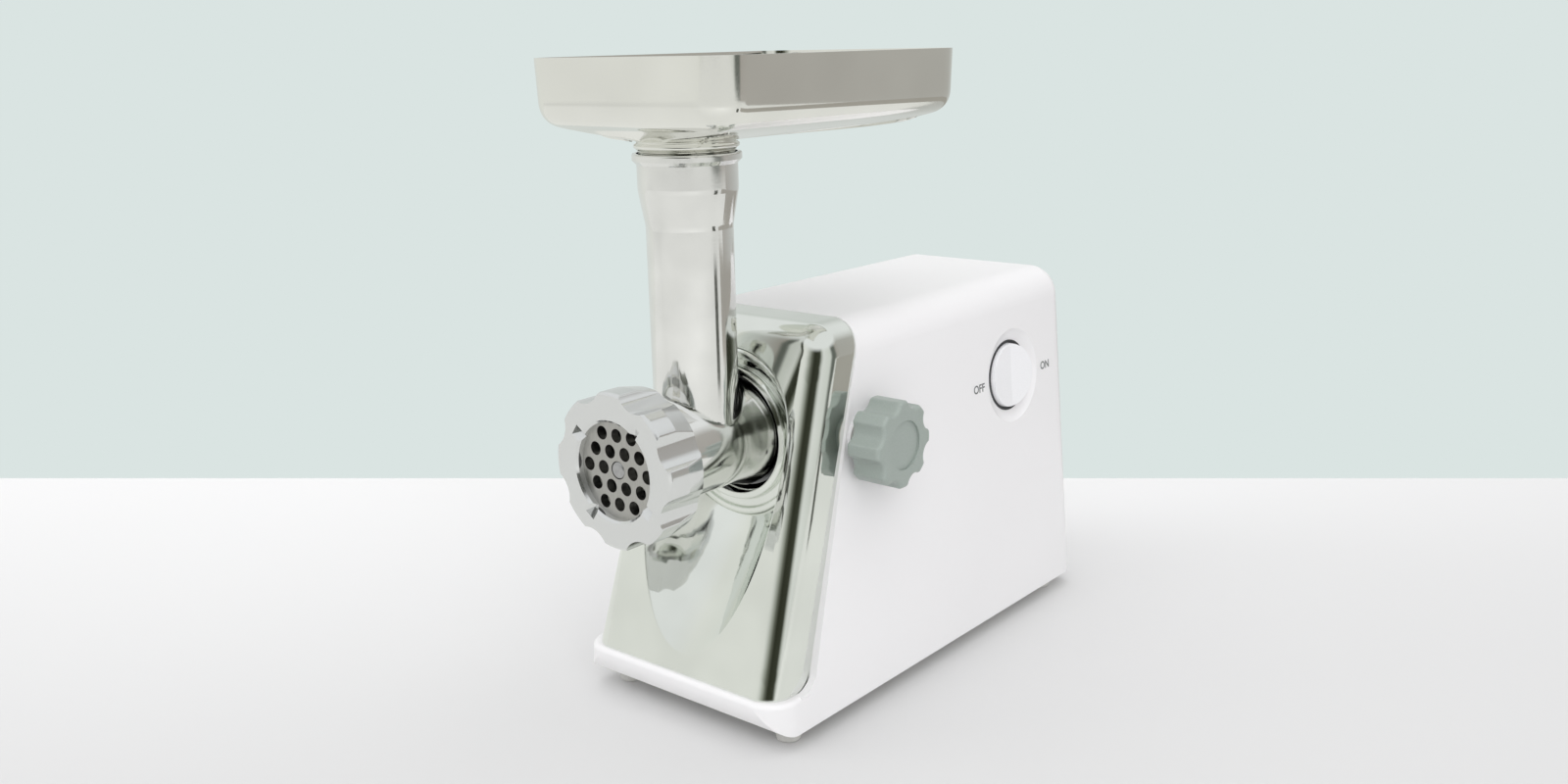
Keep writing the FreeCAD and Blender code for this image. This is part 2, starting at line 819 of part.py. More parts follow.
def commutator():
    """Copper ring with slits between its bars."""
    end = commutator_front_y + commutator_length
    body = motor_pipe(commutator_radius, shaft_radius + seat_gap, commutator_front_y, end)
    rim_z = motor_axis_height + commutator_radius
    slit = box((-commutator_slit / 2, commutator_slit / 2), (commutator_front_y + 2.0, end + 1),
               (rim_z - commutator_slit_depth, rim_z + 1))
    step = 360 / commutator_bars
    return body.cut([turned(slit, step * index, motor_point(0)) for index in range(commutator_bars)])


def brush_span():
    """Range of y that the brushes fill."""
    middle = commutator_front_y + commutator_length / 2 + brush_offset
    half = brush_width / 2 + 1.0
    return (middle - half, middle + half)


def carbon_brushes():
    z_span = (motor_axis_height - brush_width / 2, motor_axis_height + brush_width / 2)
    tip = commutator_radius + face_gap
    return [box(mirrored_span(side, tip, tip + brush_length), brush_span(), z_span) for side in (-1, 1)]


def brush_holders():
    """Brass boxes that guide the brushes, each carried by a lug from the rear bracket."""
    start_y, end_y = brush_span()
    low_z = motor_axis_height - brush_width / 2 - seat_gap
    high_z = motor_axis_height + brush_width / 2 + seat_gap
    lug_low = high_z + holder_wall - lug_thickness
    shell_y = (start_y - holder_wall, end_y + holder_wall)
    holders = []
    for side in (-1, 1):
        near, far = [commutator_radius + reach for reach in holder_reach]
        lug_x = mirrored_span(side, commutator_radius + lug_reach[0], commutator_radius + lug_reach[1])
        shell = box(mirrored_span(side, near, far), shell_y, (low_z - holder_wall, high_z + holder_wall))
        bore = box(mirrored_span(side, near - 1, far - holder_wall), (start_y - seat_gap, end_y + seat_gap),
                   (low_z, high_z))
        lug = box(lug_x, (shell_y[1] - lug_thickness, rear_bracket_y), (lug_low, lug_low + lug_thickness))
        strap = box(lug_x, (rear_bracket_y - lug_thickness, rear_bracket_y),
                    (lug_low, motor_axis_height + strap_height))
        holders.append(shell.cut(bore).fuse([lug, strap]))
    return holders


def cooling_fan():
    """Radial fan on the motor shaft, just behind the front bracket."""
    start = gearbox_rear_y + bracket_thickness + fan_gap
    tip_radius = fan_radius - 2.0
    hub = motor_rod(fan_hub_radius, start, start + fan_width)
    disc = motor_rod(tip_radius, start, start + fan_disc_thickness)
    blade = box((-fan_blade_thickness / 2, fan_blade_thickness / 2), (start, start + fan_width),
                (motor_axis_height + fan_hub_radius - 2.0, motor_axis_height + tip_radius))
    blades = [turned(blade, 360 / fan_blades * i, motor_point(0)) for i in range(fan_blades)]
    bore = motor_rod(shaft_radius + seat_gap, start - 1, start + fan_width + 1)
    return hub.fuse([disc] + blades).cut(bore)


def motor_pads():
    """Rubber strips between the field frame and the base plate's cradle."""
    low = motor_axis_height - stack_half_height - pad_thickness
    y_span = (stack_front_y + pad_end_gap, stack_rear_y - pad_end_gap)
    return [box(mirrored_span(side, pad_span[0], pad_span[1]), y_span, (low, low + pad_thickness))
            for side in (-1, 1)]


# ---------------------------------------------------------------- housing

def housing_block(inset, low, front_shift=0.0):
    """The housing's main block, inset from its outer faces, from a given height up."""
    top = body_top - inset
    rows = []
    for z in (low, top):
        rows.append((z, half_width(z) - inset, front_edge_y(z) + front_shift, rear_face_y(z) - inset))
    block = drafted_block(rows[0], rows[1])
    upper_edges = [edge for edge in edges_along(block, V(0, 1, 0)) if edge.CenterOfMass.z > top - touch]
    block = block.makeFillet(top_edge_radius - inset, upper_edges)

    def on_rear_rim(point):
        on_rear = point.y > rear_face_y(point.z) - inset - touch
        on_side = abs(point.x) > half_width(point.z) - inset - touch
        return on_rear and (point.z > low + touch or on_side)

    return block.makeFillet(rear_edge_radius - inset, edges_where(block, on_rear_rim))


def lip_block(inset, low, high):
    """The rounded ledge under the front panel."""
    front = lip_front_y + inset
    rear = front_edge_y(lip_top) + 20.0
    rows = [(z, half_width(z) - inset, front, rear) for z in (low, high)]
    block = drafted_block(rows[0], rows[1])
    corners = [edge for edge in edges_along(block, V(0, 0, 1)) if edge.CenterOfMass.y < front + touch]
    return block.makeFillet(lip_corner_radius - inset, corners)


def lip_fillers():
    """Hollow round on each side where the front rim runs forwards into the ledge."""
    foot = V(0, front_edge_y(lip_top), lip_top)
    up = V(0, front_slope, 1)
    up.normalize()
    reach = lip_sweep_radius / math.tan((math.pi / 2 + math.atan(front_slope)) / 2)
    ahead = foot - V(0, reach, 0)
    above = foot + up * reach
    centre = ahead + V(0, 0, lip_sweep_radius)
    inward = foot - centre
    inward.normalize()
    arc = Part.Arc(ahead, centre + inward * lip_sweep_radius, above).toShape()
    low = foot - V(0, 0, 1)
    behind = above + V(0, 1, 0)
    outline = Part.Wire([arc, Part.makeLine(above, behind), Part.makeLine(behind, low + V(0, 1, 0)),
                         Part.makeLine(low + V(0, 1, 0), ahead - V(0, 0, 1)), Part.makeLine(ahead - V(0, 0, 1), ahead)])
    near = panel_half(lip_top) + face_gap
    far = half_width_bottom + 1.0
    filler = Part.Face(outline)
    filler.translate(V(near, 0, 0))
    right = filler.extrude(V(far - near, 0, 0))
    sides = drafted_block((foot_height, half_width(foot_height), lip_front_y, rear_y),
                          (body_top, half_width(body_top), lip_front_y, rear_y))
    right = right.common(sides)
    return [right, right.mirror(V(0, 0, 0), V(1, 0, 0))]


def lip_profile(inset):
    """Side outline of the ledge, a quarter round from its front down to its floor, made wide."""
    low = foot_height - 6.0 if inset else foot_height
    high = lip_top - inset
    front = lip_front_y + inset
    rear = front_edge_y(lip_top) + 30.0
    centre_z = foot_height + lip_lower_radius
    centre_y = lip_front_y + lip_lower_radius
    radius = lip_lower_radius - inset
    diagonal = radius * math.sqrt(0.5)
    reach = half_width_bottom + 5.0

    def at(y, z):
        return V(-reach, y, z)

    edges = [Part.makeLine(at(rear, low), at(rear, high)), Part.makeLine(at(rear, high), at(front, high))]
    if high > centre_z:
        edges.append(Part.makeLine(at(front, high), at(front, centre_z)))
    arc = Part.Arc(at(front, centre_z), at(centre_y - diagonal, centre_z - diagonal),
                   at(centre_y, centre_z - radius))
    edges.append(arc.toShape())
    if inset:
        edges.append(Part.makeLine(at(centre_y, centre_z - radius), at(centre_y, low)))
    edges.append(Part.makeLine(at(centre_y, low), at(rear, low)))
    return Part.Face(Part.Wire(edges)).extrude(V(2 * reach, 0, 0))


def rounded_lip():
    """The ledge with its upper front edge rounded."""
    lip = lip_block(0.0, foot_height, lip_top).common(lip_profile(0.0))
    rim = edges_where(lip, lambda p: p.z > lip_top - touch and p.y < front_edge_y(lip_top))
    return lip.makeFillet(lip_upper_radius, rim)


def lip_hollow(inset, low, high):
    return lip_block(inset, low, high).common(lip_profile(inset))


def panel_screw_places():
    """(x, z, y of the housing rim's front face) of the four panel screws."""
    places = []
    for z in (lip_top + 12.0, body_top - 24.0):
        for side in (-1, 1):
            x = side * (panel_half(z) - panel_wall - panel_boss_radius - 1.0)
            places.append((x, z, front_edge_y(z)))
    return places


def base_post_places():
    places = []
    for y in (front_edge_y(foot_height + post_height) + 22.0, 0.0, rear_foot_y - 30.0):
        for side in (-1, 1):
            places.append((side * (half_width(foot_height + post_height) - post_inset), y))
    return places


def switch_frame(shape):
    """Move a shape built round the origin, with +Z outwards, to the switch on the side wall."""
    turn = FreeCAD.Rotation(V(0, 1, 0), math.degrees(math.pi / 2 - side_angle))
    placed = shape.copy()
    placed.Placement = FreeCAD.Placement(V(half_width(switch_z), switch_y, switch_z), turn)
    return placed


def switch_dish():
    """Round hollow in the side wall that the rocker sits in."""
    points = [V(0, 0, 2.0), V(recess_radius + 1.5, 0, 2.0), V(recess_radius, 0, 0)]
    middle = V((recess_radius + recess_floor_radius) / 2 - 0.6, 0, -recess_depth * 0.72)
    end = V(recess_floor_radius, 0, -recess_depth)
    edges = [Part.makeLine(points[0], points[1]), Part.makeLine(points[1], points[2]),
             Part.Arc(points[2], middle, end).toShape(), Part.makeLine(end, V(0, 0, -recess_depth)),
             Part.makeLine(V(0, 0, -recess_depth), points[0])]
    return Part.Face(Part.Wire(edges)).revolve(V(0, 0, 0), V(0, 0, 1), 360)


def housing_shell():
    """One-piece moulded shell, open below and in front, with the front ledge."""
    outer = housing_block(0.0, foot_height).fuse([rounded_lip()] + lip_fillers()).removeSplitter()
    cavity = housing_block(wall, foot_height - 5.0, rim_depth)
    lip_cavity = lip_hollow(wall, foot_height - 5.0, lip_top - wall)
    body = outer.cut([cavity, lip_cavity])
    opening = panel_opening()
    body = body.cut(opening)
    backing = cylinder(recess_radius + 3.0, V(0, 0, -recess_depth - wall), V(0, 0, -1.0))
    knob_x = half_width(head_axis_height)
    boss = knob_rod(knob_boss_radius, knob_x - wall - 4.0, knob_face_x())
    posts = []
    for x, y in base_post_places():
        post = box(sorted((x - math.copysign(post_radius, x), x + math.copysign(post_inset, x))),
                   (y - post_radius, y + post_radius), (base_top, foot_height + post_height))
        posts.append(post.common(outer))
    body = body.fuse([switch_frame(backing), boss] + posts)
    collar_hole = cylinder(collar_radius() + seat_gap, V(0, 0, -recess_depth - wall - 1), V(0, 0, 0))
    cuts = [switch_frame(switch_dish()), switch_frame(collar_hole)]
    cuts.append(knob_rod(bush_radius + seat_gap, knob_x - wall - 5.0, knob_x - 1.0))
    cuts.append(knob_rod(stud_radius + face_gap, knob_x - 2.0, knob_face_x() + 1.0))
    for x, y in base_post_places():
        cuts.append(cylinder(screw_radius + seat_gap, V(x, y, base_top - 1), V(x, y, base_top + 14.0)))
    for x, z, y in panel_screw_places():
        cuts.append(rod_along_y(screw_radius + screw_play, x, z, y - 3.0, y + rim_depth + 4.0))
    cuts += rear_vents()
    rear_wall = rear_face_y(gland_z)
    cuts.append(rod_along_y(gland_radius + seat_gap, gland_x, gland_z, rear_wall - 6.0, rear_wall + 1.0))
    return body.cut(cuts)


def panel_opening():
    """Opening through the housing's front rim, smaller than the panel by the rim's width."""
    rows = []
    for z in (lip_top + 1.0, body_top - rim_width):
        edge_y = front_edge_y(z)
        rows.append((z, panel_half(z) - rim_width, edge_y - 2.0, edge_y + rim_depth + 1.0))
    block = drafted_block(rows[0], rows[1])
    top_z = body_top - rim_width - touch
    upper = [edge for edge in edges_along(block, V(0, 1, 0)) if edge.CenterOfMass.z > top_z]
    return block.makeFillet(top_edge_radius - rim_width, upper)


def rear_vents():
    """Upright slots in the rear wall, in one row."""
    slots = []
    y = rear_face_y(vent_height)
    for index in range(vent_count):
        x = (index - (vent_count - 1) / 2) * vent_pitch
        slots.append(box((x - vent_width / 2, x + vent_width / 2), (y - 8.0, y + 4.0),
                         (vent_height, vent_height + vent_length)))
    return slots


def base_outline(low, high, gap):
    """Everything inside the shell's lower opening, between two heights."""
    main = housing_block(wall + gap, low, rim_depth)
    lip = lip_hollow(wall + gap, low, high)
    slab = box((-300, 300), (-300, 300), (low, high))
    return main.common(slab).fuse(lip).removeSplitter()


def base_plate():
    """Moulded floor with a cradle for the motor and a pedestal for the gearbox."""
    plate = base_outline(foot_height, base_top, 0.1)
    cradle_top = motor_axis_height - stack_half_height - pad_thickness
    cradle_y = (stack_front_y + pad_end_gap, stack_rear_y - pad_end_gap)
    pedestal_y = (gearbox_front_inner_y + 3.0, gearbox_rear_y - 3.0)
    ribs = []
    for side in (-1, 1):
        for start in (cradle_y[0], cradle_y[1] - rib_thickness):
            ribs.append(box(mirrored_span(side, pad_span[0], pad_span[1]), (start, start + rib_thickness),
                            (base_top - 1, cradle_top)))
        middle = (pad_span[0] + pad_span[1]) / 2
        ribs.append(box(mirrored_span(side, middle - 1.0, middle + 2.0), cradle_y, (base_top - 1, cradle_top)))
        ribs.append(box(mirrored_span(side, pedestal_half - rib_thickness, pedestal_half), pedestal_y,
                        (base_top - 1, gearbox_low)))
    ribs.append(box((-pedestal_half, pedestal_half), (pedestal_y[0], pedestal_y[0] + rib_thickness),
                    (base_top - 1, gearbox_low)))
    cuts = []
    for x, y in base_post_places():
        low = V(x, y, foot_height - 1)
        cuts.append(cylinder(screw_radius + screw_play, low, V(x, y, base_top + 1)))
        cuts.append(cylinder(screw_head_radius + face_gap, low, V(x, y, foot_height + screw_head_height / 2)))
    for x, y in foot_places():
        cuts.append(cylinder(screw_radius + seat_gap, V(x, y, foot_height - 1), V(x, y, base_top + 1)))
    for index in range(base_slot_count):
        y = stack_front_y + 2.0 + index * base_slot_pitch
        cuts.append(box((-base_slot_half, base_slot_half), (y, y + base_slot_width),
                        (foot_height - 1, base_top + 1)))
    return plate.fuse(ribs).cut(cuts)


def base_screws():
    seat_z = foot_height + screw_head_height / 2
    return [screw(V(x, y, seat_z), V(0, 0, 1), base_thickness + 10.0) for x, y in base_post_places()]


def foot_places():
    x = half_width_bottom - foot_inset
    return [(side * x, y) for y in (front_foot_y, rear_foot_y) for side in (-1, 1)]


def feet():
    """Four moulded feet, slightly tapered, with a rounded sole and a screw well."""
    shapes = []
    for x, y in foot_places():
        foot = Part.makeCone(foot_radius - 0.8, foot_radius, foot_height, V(x, y, 0), V(0, 0, 1))
        sole = [edge for edge in foot.Edges if edge.Closed and edge.CenterOfMass.z < 0.1]
        foot = foot.makeFillet(1.4, sole)
        well = cylinder(screw_head_radius + 0.2, V(x, y, -1), V(x, y, foot_height - 4.0))
        hole = cylinder(screw_radius + 0.1, V(x, y, -1), V(x, y, foot_height + 1))
        shapes.append(foot.cut([well, hole]))
    return shapes


def foot_screws():
    return [screw(V(x, y, foot_height - 4.0), V(0, 0, 1), 4.0 + base_thickness) for x, y in foot_places()]


def cord_gland():
    """Grommet in the rear wall where the mains lead enters."""
    y = rear_face_y(gland_z)
    slope_gap = 0.4
    flange = rod_along_y(gland_radius + 2.5, gland_x, gland_z, y + slope_gap, y + 3.4)
    body = rod_along_y(gland_radius, gland_x, gland_z, y - 7.0, y + slope_gap)
    rims = [edge for edge in flange.Edges if edge.Closed and edge.CenterOfMass.y > y + 3.0]
    flange = flange.makeFillet(1.2, rims)
    return body.fuse(flange).cut(rod_along_y(gland_bore, gland_x, gland_z, y - 8.0, y + 4.0))


# ---------------------------------------------------------------- front panel

def panel_half(z):
    """Outer half width of the front panel at a height."""
    share = (z - lip_top) / (body_top - lip_top)
    return panel_half_bottom + (half_width_top - panel_inset_top - panel_half_bottom) * share


def panel_front_y(z):
    return front_edge_y(z) - panel_depth


def panel_block(inset):
    """The panel's rounded outer shape, or the same shape inset by its wall."""
    low = lip_top + inset
    high = body_top - inset
    slant = inset * math.sqrt(1 + front_slope ** 2)
    tail = panel_backing_depth + 2.0 if inset else 0.0
    rows = []
    for z in (low, high):
        rows.append((z, panel_half(z) - inset, panel_front_y(z) + slant, front_edge_y(z) + tail))
    block = drafted_block(rows[0], rows[1])
    upper = [edge for edge in edges_along(block, V(0, 1, 0)) if edge.CenterOfMass.z > high - touch]
    block = block.makeFillet(panel_top_radius - inset, upper)
    front = edges_where(block, lambda p: p.y < panel_front_y(p.z) + slant + touch)
    front = [edge for edge in front if edge.CenterOfMass.z > low + 0.5]
    block = block.makeFillet(panel_edge_radius - inset, front)
    return block


def scoop_cutter(grow):
    """Round pocket about the head's axis, and the half-round valley that runs down from it."""
    floor_y = pocket_floor_y + grow
    pocket = head_rod(pocket_radius + grow, floor_y, floor_y - 120.0)
    start_z = head_axis_height - pocket_radius + scoop_start_inset
    tip_y = panel_front_y(scoop_tip_height)
    run = V(0, tip_y - pocket_floor_y, scoop_tip_height - start_z)
    run.normalize()
    outward = V(0, run.z, -run.y)
    centre = V(0, pocket_floor_y, start_z) + outward * scoop_depth - run * 90.0
    ellipse = Part.Ellipse()
    ellipse.MajorRadius = pocket_radius + grow
    ellipse.MinorRadius = scoop_depth + grow
    outline = Part.Wire([ellipse.toShape()])
    outline.Placement = FreeCAD.Placement(centre, FreeCAD.Rotation(V(1, 0, 0), outward, run, "ZXY"))
    valley = Part.Face(outline).extrude(run * 260.0)
    keep = box((-100, 100), (floor_y - 150.0, floor_y), (-60.0, head_axis_height))
    return pocket.fuse(valley.common(keep))


def panel_backing():
    """Room behind the cap, inside the housing's opening, that the pocket's wall reaches into."""
    rows = []
    for z in (lip_top + rim_width, body_top - top_edge_radius - rim_width):
        rows.append((z, panel_half(z) - rim_width - 1.0, front_edge_y(z) - 1.0, front_edge_y(z) + panel_backing_depth))
    return drafted_block(rows[0], rows[1])


def front_panel():
    """Bright plated cover: a rounded cap with the head pocket and the scoop drawn into it."""
    outer = panel_block(0.0).fuse(panel_backing()).removeSplitter().cut(scoop_cutter(0.0))
    inner = panel_block(panel_wall).cut(scoop_cutter(panel_wall))
    shell = outer.cut(inner)
    shell = shell.cut(head_rod(pocket_hole_radius, pocket_floor_y - 5.0, pocket_floor_y + 8.0))
    envelope = panel_block(0.0).cut(scoop_cutter(panel_wall / 2))
    bosses = []
    holes = []
    for x, z, y in panel_screw_places():
        boss = rod_along_y(panel_boss_radius, x, z, y - panel_depth, y + 1.0)
        bosses.append(boss.common(envelope))
        holes.append(rod_along_y(screw_radius + seat_gap, x, z, y - panel_boss_clear, y + 1.0))
    return shell.fuse(bosses).cut(holes)


def panel_screws():
    """Four screws that hold the panel to the housing's rim from inside."""
    screws = []
    for x, z, y in panel_screw_places():
        seat = V(x, y + rim_depth + 1.6, z)
        screws.append(screw(seat, V(0, -1, 0), rim_depth + panel_boss_clear))
    return screws


def socket_ring():
    """Stepped bright ring round the head's socket."""
    outer = pocket_radius - face_gap
    inner = pocket_hole_radius + face_gap
    step = (outer - inner) / 3
    back = pocket_floor_y - seat_gap
    low = back - ring_step
    middle = back - ring_bead
    high = middle - ring_step
    profile = [(back, inner), (high, inner), (high, inner + step - ring_chamfer), (middle, inner + step),
               (low, inner + step), (low, inner + 2 * step), (middle, inner + 2 * step + ring_chamfer),
               (middle, outer - ring_chamfer), (middle + ring_chamfer, outer), (back, outer)]
    return revolve_about_y(profile, head_axis_height)


# ---------------------------------------------------------------- socket, knob

def socket_screw_places():
    radius = socket_flange_radius - socket_screw_inset
    return [(radius * math.cos(a), head_axis_height + radius * math.sin(a))
            for a in [math.radians(45 + 90 * i) for i in range(4)]]


def head_socket():
    """Aluminium sleeve bolted to the gearbox that takes the head's spigot."""
    bore = spigot_radius + socket_gap
    sleeve = head_rod(bore + socket_wall, socket_front_y, gearbox_front_y)
    flange_y = gearbox_front_y - socket_flange_thickness
    flange = head_rod(socket_flange_radius, flange_y, gearbox_front_y)
    body = sleeve.fuse(flange)
    cuts = [head_rod(bore, socket_front_y - 1, flange_y),
            head_rod(output_cup_radius + face_gap, flange_y - 1, gearbox_front_y + 1),
            knob_rod(stud_radius + face_gap, bore - socket_wall, bore + 2 * socket_wall)]
    for x, z in socket_screw_places():
        cuts.append(rod_along_y(screw_radius + screw_play, x, z, flange_y - 1, gearbox_front_y + 1))
    return body.cut(cuts)


def socket_screws():
    seat_y = gearbox_front_y - socket_flange_thickness
    length = socket_flange_thickness + socket_screw_bite - screw_play
    return [screw(V(x, seat_y, z), V(0, 1, 0), length) for x, z in socket_screw_places()]


def knob_rod(radius, start_x, end_x):
    """Cylinder on the locking knob's axis."""
    return cylinder(radius, head_point(knob_y, x=start_x), head_point(knob_y, x=end_x))


def knob_face_x():
    """Outer face of the flat boss round the knob's hole."""
    return half_width(head_axis_height) + knob_boss_height


def knob_bush():
    """Brass bush in the side wall that the knob's thread runs in."""
    outer_x = half_width(head_axis_height) - 1.0 - seat_gap
    sleeve = knob_rod(bush_radius, outer_x - bush_length, outer_x)
    return sleeve.cut(knob_rod(stud_radius + running_gap, outer_x - bush_length - 1, outer_x + 1))


def knob_washer():
    x = knob_face_x() + washer_gap
    disc = knob_rod(washer_radius, x, x + washer_thickness)
    return disc.cut(knob_rod(stud_radius + face_gap, x - 1, x + washer_thickness + 1))


def knob_back_x():
    return half_width(head_axis_height) + knob_standoff


def knob_grip():
    """Moulded knob with eight rounded lobes on a round neck."""
    back = knob_back_x()
    front = back + knob_thickness
    reach = knob_radius - knob_scallop_depth + knob_scallop_radius
    cuts = []
    for index in range(knob_lobes):
        angle = 2 * math.pi * (index + 0.5) / knob_lobes
        middle = V(0, knob_y + reach * math.cos(angle), head_axis_height + reach * math.sin(angle))
        cuts.append(cylinder(knob_scallop_radius, middle + V(back - 1, 0, 0), middle + V(front + 1, 0, 0)))
    grip = knob_rod(knob_radius, back, front).cut(cuts)
    grip = grip.makeFillet(knob_edge_radius, edges_along(grip, V(1, 0, 0)))
    grip = grip.makeFillet(knob_face_rounding, edges_where(grip, lambda p: p.x > front - touch))
    grip = grip.makeFillet(knob_back_rounding, edges_where(grip, lambda p: p.x < back + touch))
    neck_start = knob_face_x() + washer_gap + washer_thickness + seat_gap
    neck = knob_rod(knob_neck_radius, neck_start, back + 2.0)
    dish = knob_rod(knob_dish_radius, front - knob_dish_depth, front + 1)
    stud_hole = knob_rod(stud_radius + seat_gap, neck_start - 1, front - knob_face_wall)
    return grip.fuse(neck).cut([dish, stud_hole])


def knob_stud():
    """Steel thread of the knob, with a plain tip that enters the spigot's groove."""
    shoulder_x = spigot_radius + stud_shoulder_gap
    end_x = knob_back_x() + knob_thickness - knob_face_wall - face_gap
    tip = knob_rod(stud_tip_radius, shoulder_x - stud_tip_length, shoulder_x)
    return tip.fuse(knob_rod(stud_radius, shoulder_x, end_x))


# ---------------------------------------------------------------- rocker switch

def rocker_pivot():
    return V(0, 0, -recess_depth - rocker_pivot_depth)


def collar_radius():
    """Outer radius of the switch's collar, which shows round the rocker."""
    return rocker_radius + rocker_gap + switch_collar


def switch_rocker():
    """Round rocker, shown in its off position: the off half lies level and the on half stands up."""
    pivot = rocker_pivot()
    reach = rocker_radius + 2
    level = pivot.z + rocker_height
    rise = math.tan(math.radians(rocker_angle)) * reach
    profile = [V(-reach, -reach, level), V(-reach, 0, level), V(-reach, reach, level + rise),
               V(-reach, reach, pivot.z - 4.0), V(-reach, -reach, pivot.z - 4.0)]
    slab = Part.Face(Part.makePolygon(profile + profile[:1])).extrude(V(2 * reach, 0, 0))
    body = Part.makeSphere(rocker_radius, pivot).common(slab)
    hollow = Part.makeSphere(rocker_radius - 2.0, pivot)
    hollow = hollow.common(box((-reach, reach), (-reach, reach), (pivot.z - 6.0, pivot.z + 2.0)))
    hub = box((-rocker_radius + 1.0, rocker_radius - 1.0), (-3.4, 3.4), (pivot.z - 3.9, pivot.z + 3.0))
    pin = cylinder(rocker_pin_radius + running_gap, pivot - V(25, 0, 0), pivot + V(25, 0, 0))
    return switch_frame(body.cut(hollow).fuse(hub).cut(pin))


def rocker_pin():
    pivot = rocker_pivot()
    reach = V(collar_radius() - 0.2, 0, 0)
    return switch_frame(cylinder(rocker_pin_radius, pivot - reach, pivot + reach))


def switch_body():
    """Moulded switch case behind the wall; its collar comes through the wall and carries the pivot pin."""
    pivot = rocker_pivot()
    top = -recess_depth - wall - seat_gap
    bore = rocker_radius + rocker_gap
    case = cylinder(collar_radius() + 2.0, V(0, 0, top - rocker_body_depth), V(0, 0, top))
    collar = cylinder(collar_radius(), V(0, 0, top), V(0, 0, -recess_depth + 0.4))
    hollow = cylinder(bore, V(0, 0, top - 14.0), V(0, 0, 1))
    reach = V(collar_radius() + 3.6, 0, 0)
    pin = cylinder(rocker_pin_radius + seat_gap, pivot - reach, pivot + reach)
    return switch_frame(case.fuse(collar).cut([hollow, pin]))


def switch_terminals():
    top = -recess_depth - wall - seat_gap - rocker_body_depth
    blades = [box((-3.2, 3.2), (y - 0.4, y + 0.4), (top - 8.0, top)) for y in (-8.0, 0.0, 8.0)]
    return [switch_frame(blade) for blade in blades]


# ---------------------------------------------------------------- grinding head

def head_outer():
    """Outside of the casting: threaded mouth, barrel and bell."""
    axis = head_axis_height
    mouth_y = plate_face_y + plate_proud
    thread_end = mouth_y + thread_length
    neck_y = thread_end + 9.0
    flare_y = bell_rear_y - 21.0
    rim_y = bell_rear_y - bell_rim

    def at(y, radius):
        return V(0, y, axis + radius)

    shoulder_mid = at((thread_end + neck_y) / 2 - 1.0, (thread_radius - 1.5 + barrel_radius) / 2 - 0.8)
    flare_mid = at((flare_y + rim_y) / 2 + 2.0, barrel_radius + (bell_radius - barrel_radius) * 0.36)
    edges = [Part.makeLine(at(mouth_y, 0), at(mouth_y, thread_radius)),
             Part.makeLine(at(mouth_y, thread_radius), at(thread_end, thread_radius)),
             Part.makeLine(at(thread_end, thread_radius), at(thread_end, thread_radius - 1.5)),
             Part.Arc(at(thread_end, thread_radius - 1.5), shoulder_mid, at(neck_y, barrel_radius)).toShape(),
             Part.makeLine(at(neck_y, barrel_radius), at(flare_y, barrel_radius)),
             Part.Arc(at(flare_y, barrel_radius), flare_mid, at(rim_y, bell_radius)).toShape(),
             Part.makeLine(at(rim_y, bell_radius), at(bell_rear_y, bell_radius)),
             Part.makeLine(at(bell_rear_y, bell_radius), at(bell_rear_y, spigot_radius)),
             Part.makeLine(at(bell_rear_y, spigot_radius), at(spigot_rear_y, spigot_radius)),
             Part.makeLine(at(spigot_rear_y, spigot_radius), at(spigot_rear_y, 0)),
             Part.makeLine(at(spigot_rear_y, 0), at(mouth_y, 0))]
    return Part.Face(Part.Wire(edges)).revolve(V(0, 0, axis), V(0, 1, 0), 360)


def feed_tube_outer():
    """Upright tube: plain below, wider above a taper, with a turned-out lip."""
    lip_low = feed_top - feed_lip_height
    rounding = feed_lip_radius - feed_top_radius
    profile = [(0, head_axis_height), (feed_radius, head_axis_height), (feed_radius, feed_taper_low),
               (feed_top_radius, feed_taper_high), (feed_top_radius, lip_low - rounding),
               (feed_lip_radius, lip_low), (feed_lip_radius, feed_top), (0, feed_top)]
    body = revolve_about_z(profile, feed_y)
    rims = [edge for edge in body.Edges if edge.Closed and abs(edge.CenterOfMass.z - feed_top) < touch]
    body = body.makeFillet(rounding / 2, rims)
    bends = [edge for edge in body.Edges if edge.Closed and edge.CenterOfMass.z < feed_taper_high + 1
             and edge.CenterOfMass.z > feed_taper_low - 1]
    return body.makeFillet(feed_taper_rounding, bends)


def feed_tube_bore():
    """Passage for the food, wider above the taper, with a counterbore that seats the tray."""
    seat_z = feed_top - feed_seat_depth
    profile = [(0, head_axis_height), (feed_bore(), head_axis_height), (feed_bore(), feed_taper_low),
               (feed_seat_radius(), feed_taper_high), (feed_seat_radius(), seat_z),
               (feed_top_radius, seat_z), (feed_top_radius, feed_top + 1), (0, feed_top + 1)]
    return revolve_about_z(profile, feed_y)


def feed_bore():
    return feed_radius - feed_wall


def feed_seat_radius():
    return feed_top_radius - feed_wall + 0.4


def spigot_wall_y():
    """Front of the casting's rear wall, which carries the feed screw's bush."""
    return spigot_rear_y - 11.0


def head_casting():
    """Cast head: feed tube, barrel, threaded mouth and spigot in one piece."""
    outer = head_outer().fuse(feed_tube_outer()).removeSplitter()
    seam = [edge for edge in outer.Edges if on_feed_seam(edge)]
    outer = outer.makeFillet(4.5, seam)
    mouth_y = plate_face_y + plate_proud
    seat_y = plate_face_y + plate_thickness
    cuts = [head_rod(plate_radius + plate_gap, mouth_y - 1, seat_y + chamber_depth - plate_thickness),
            head_rod(barrel_bore, seat_y, spigot_wall_y()),
            head_rod(journal_radius + bush_wall + seat_gap, spigot_wall_y() - 1, spigot_rear_y + 1),
            feed_tube_bore(), locking_groove(), plate_pin_hole()]
    return outer.cut(cuts)


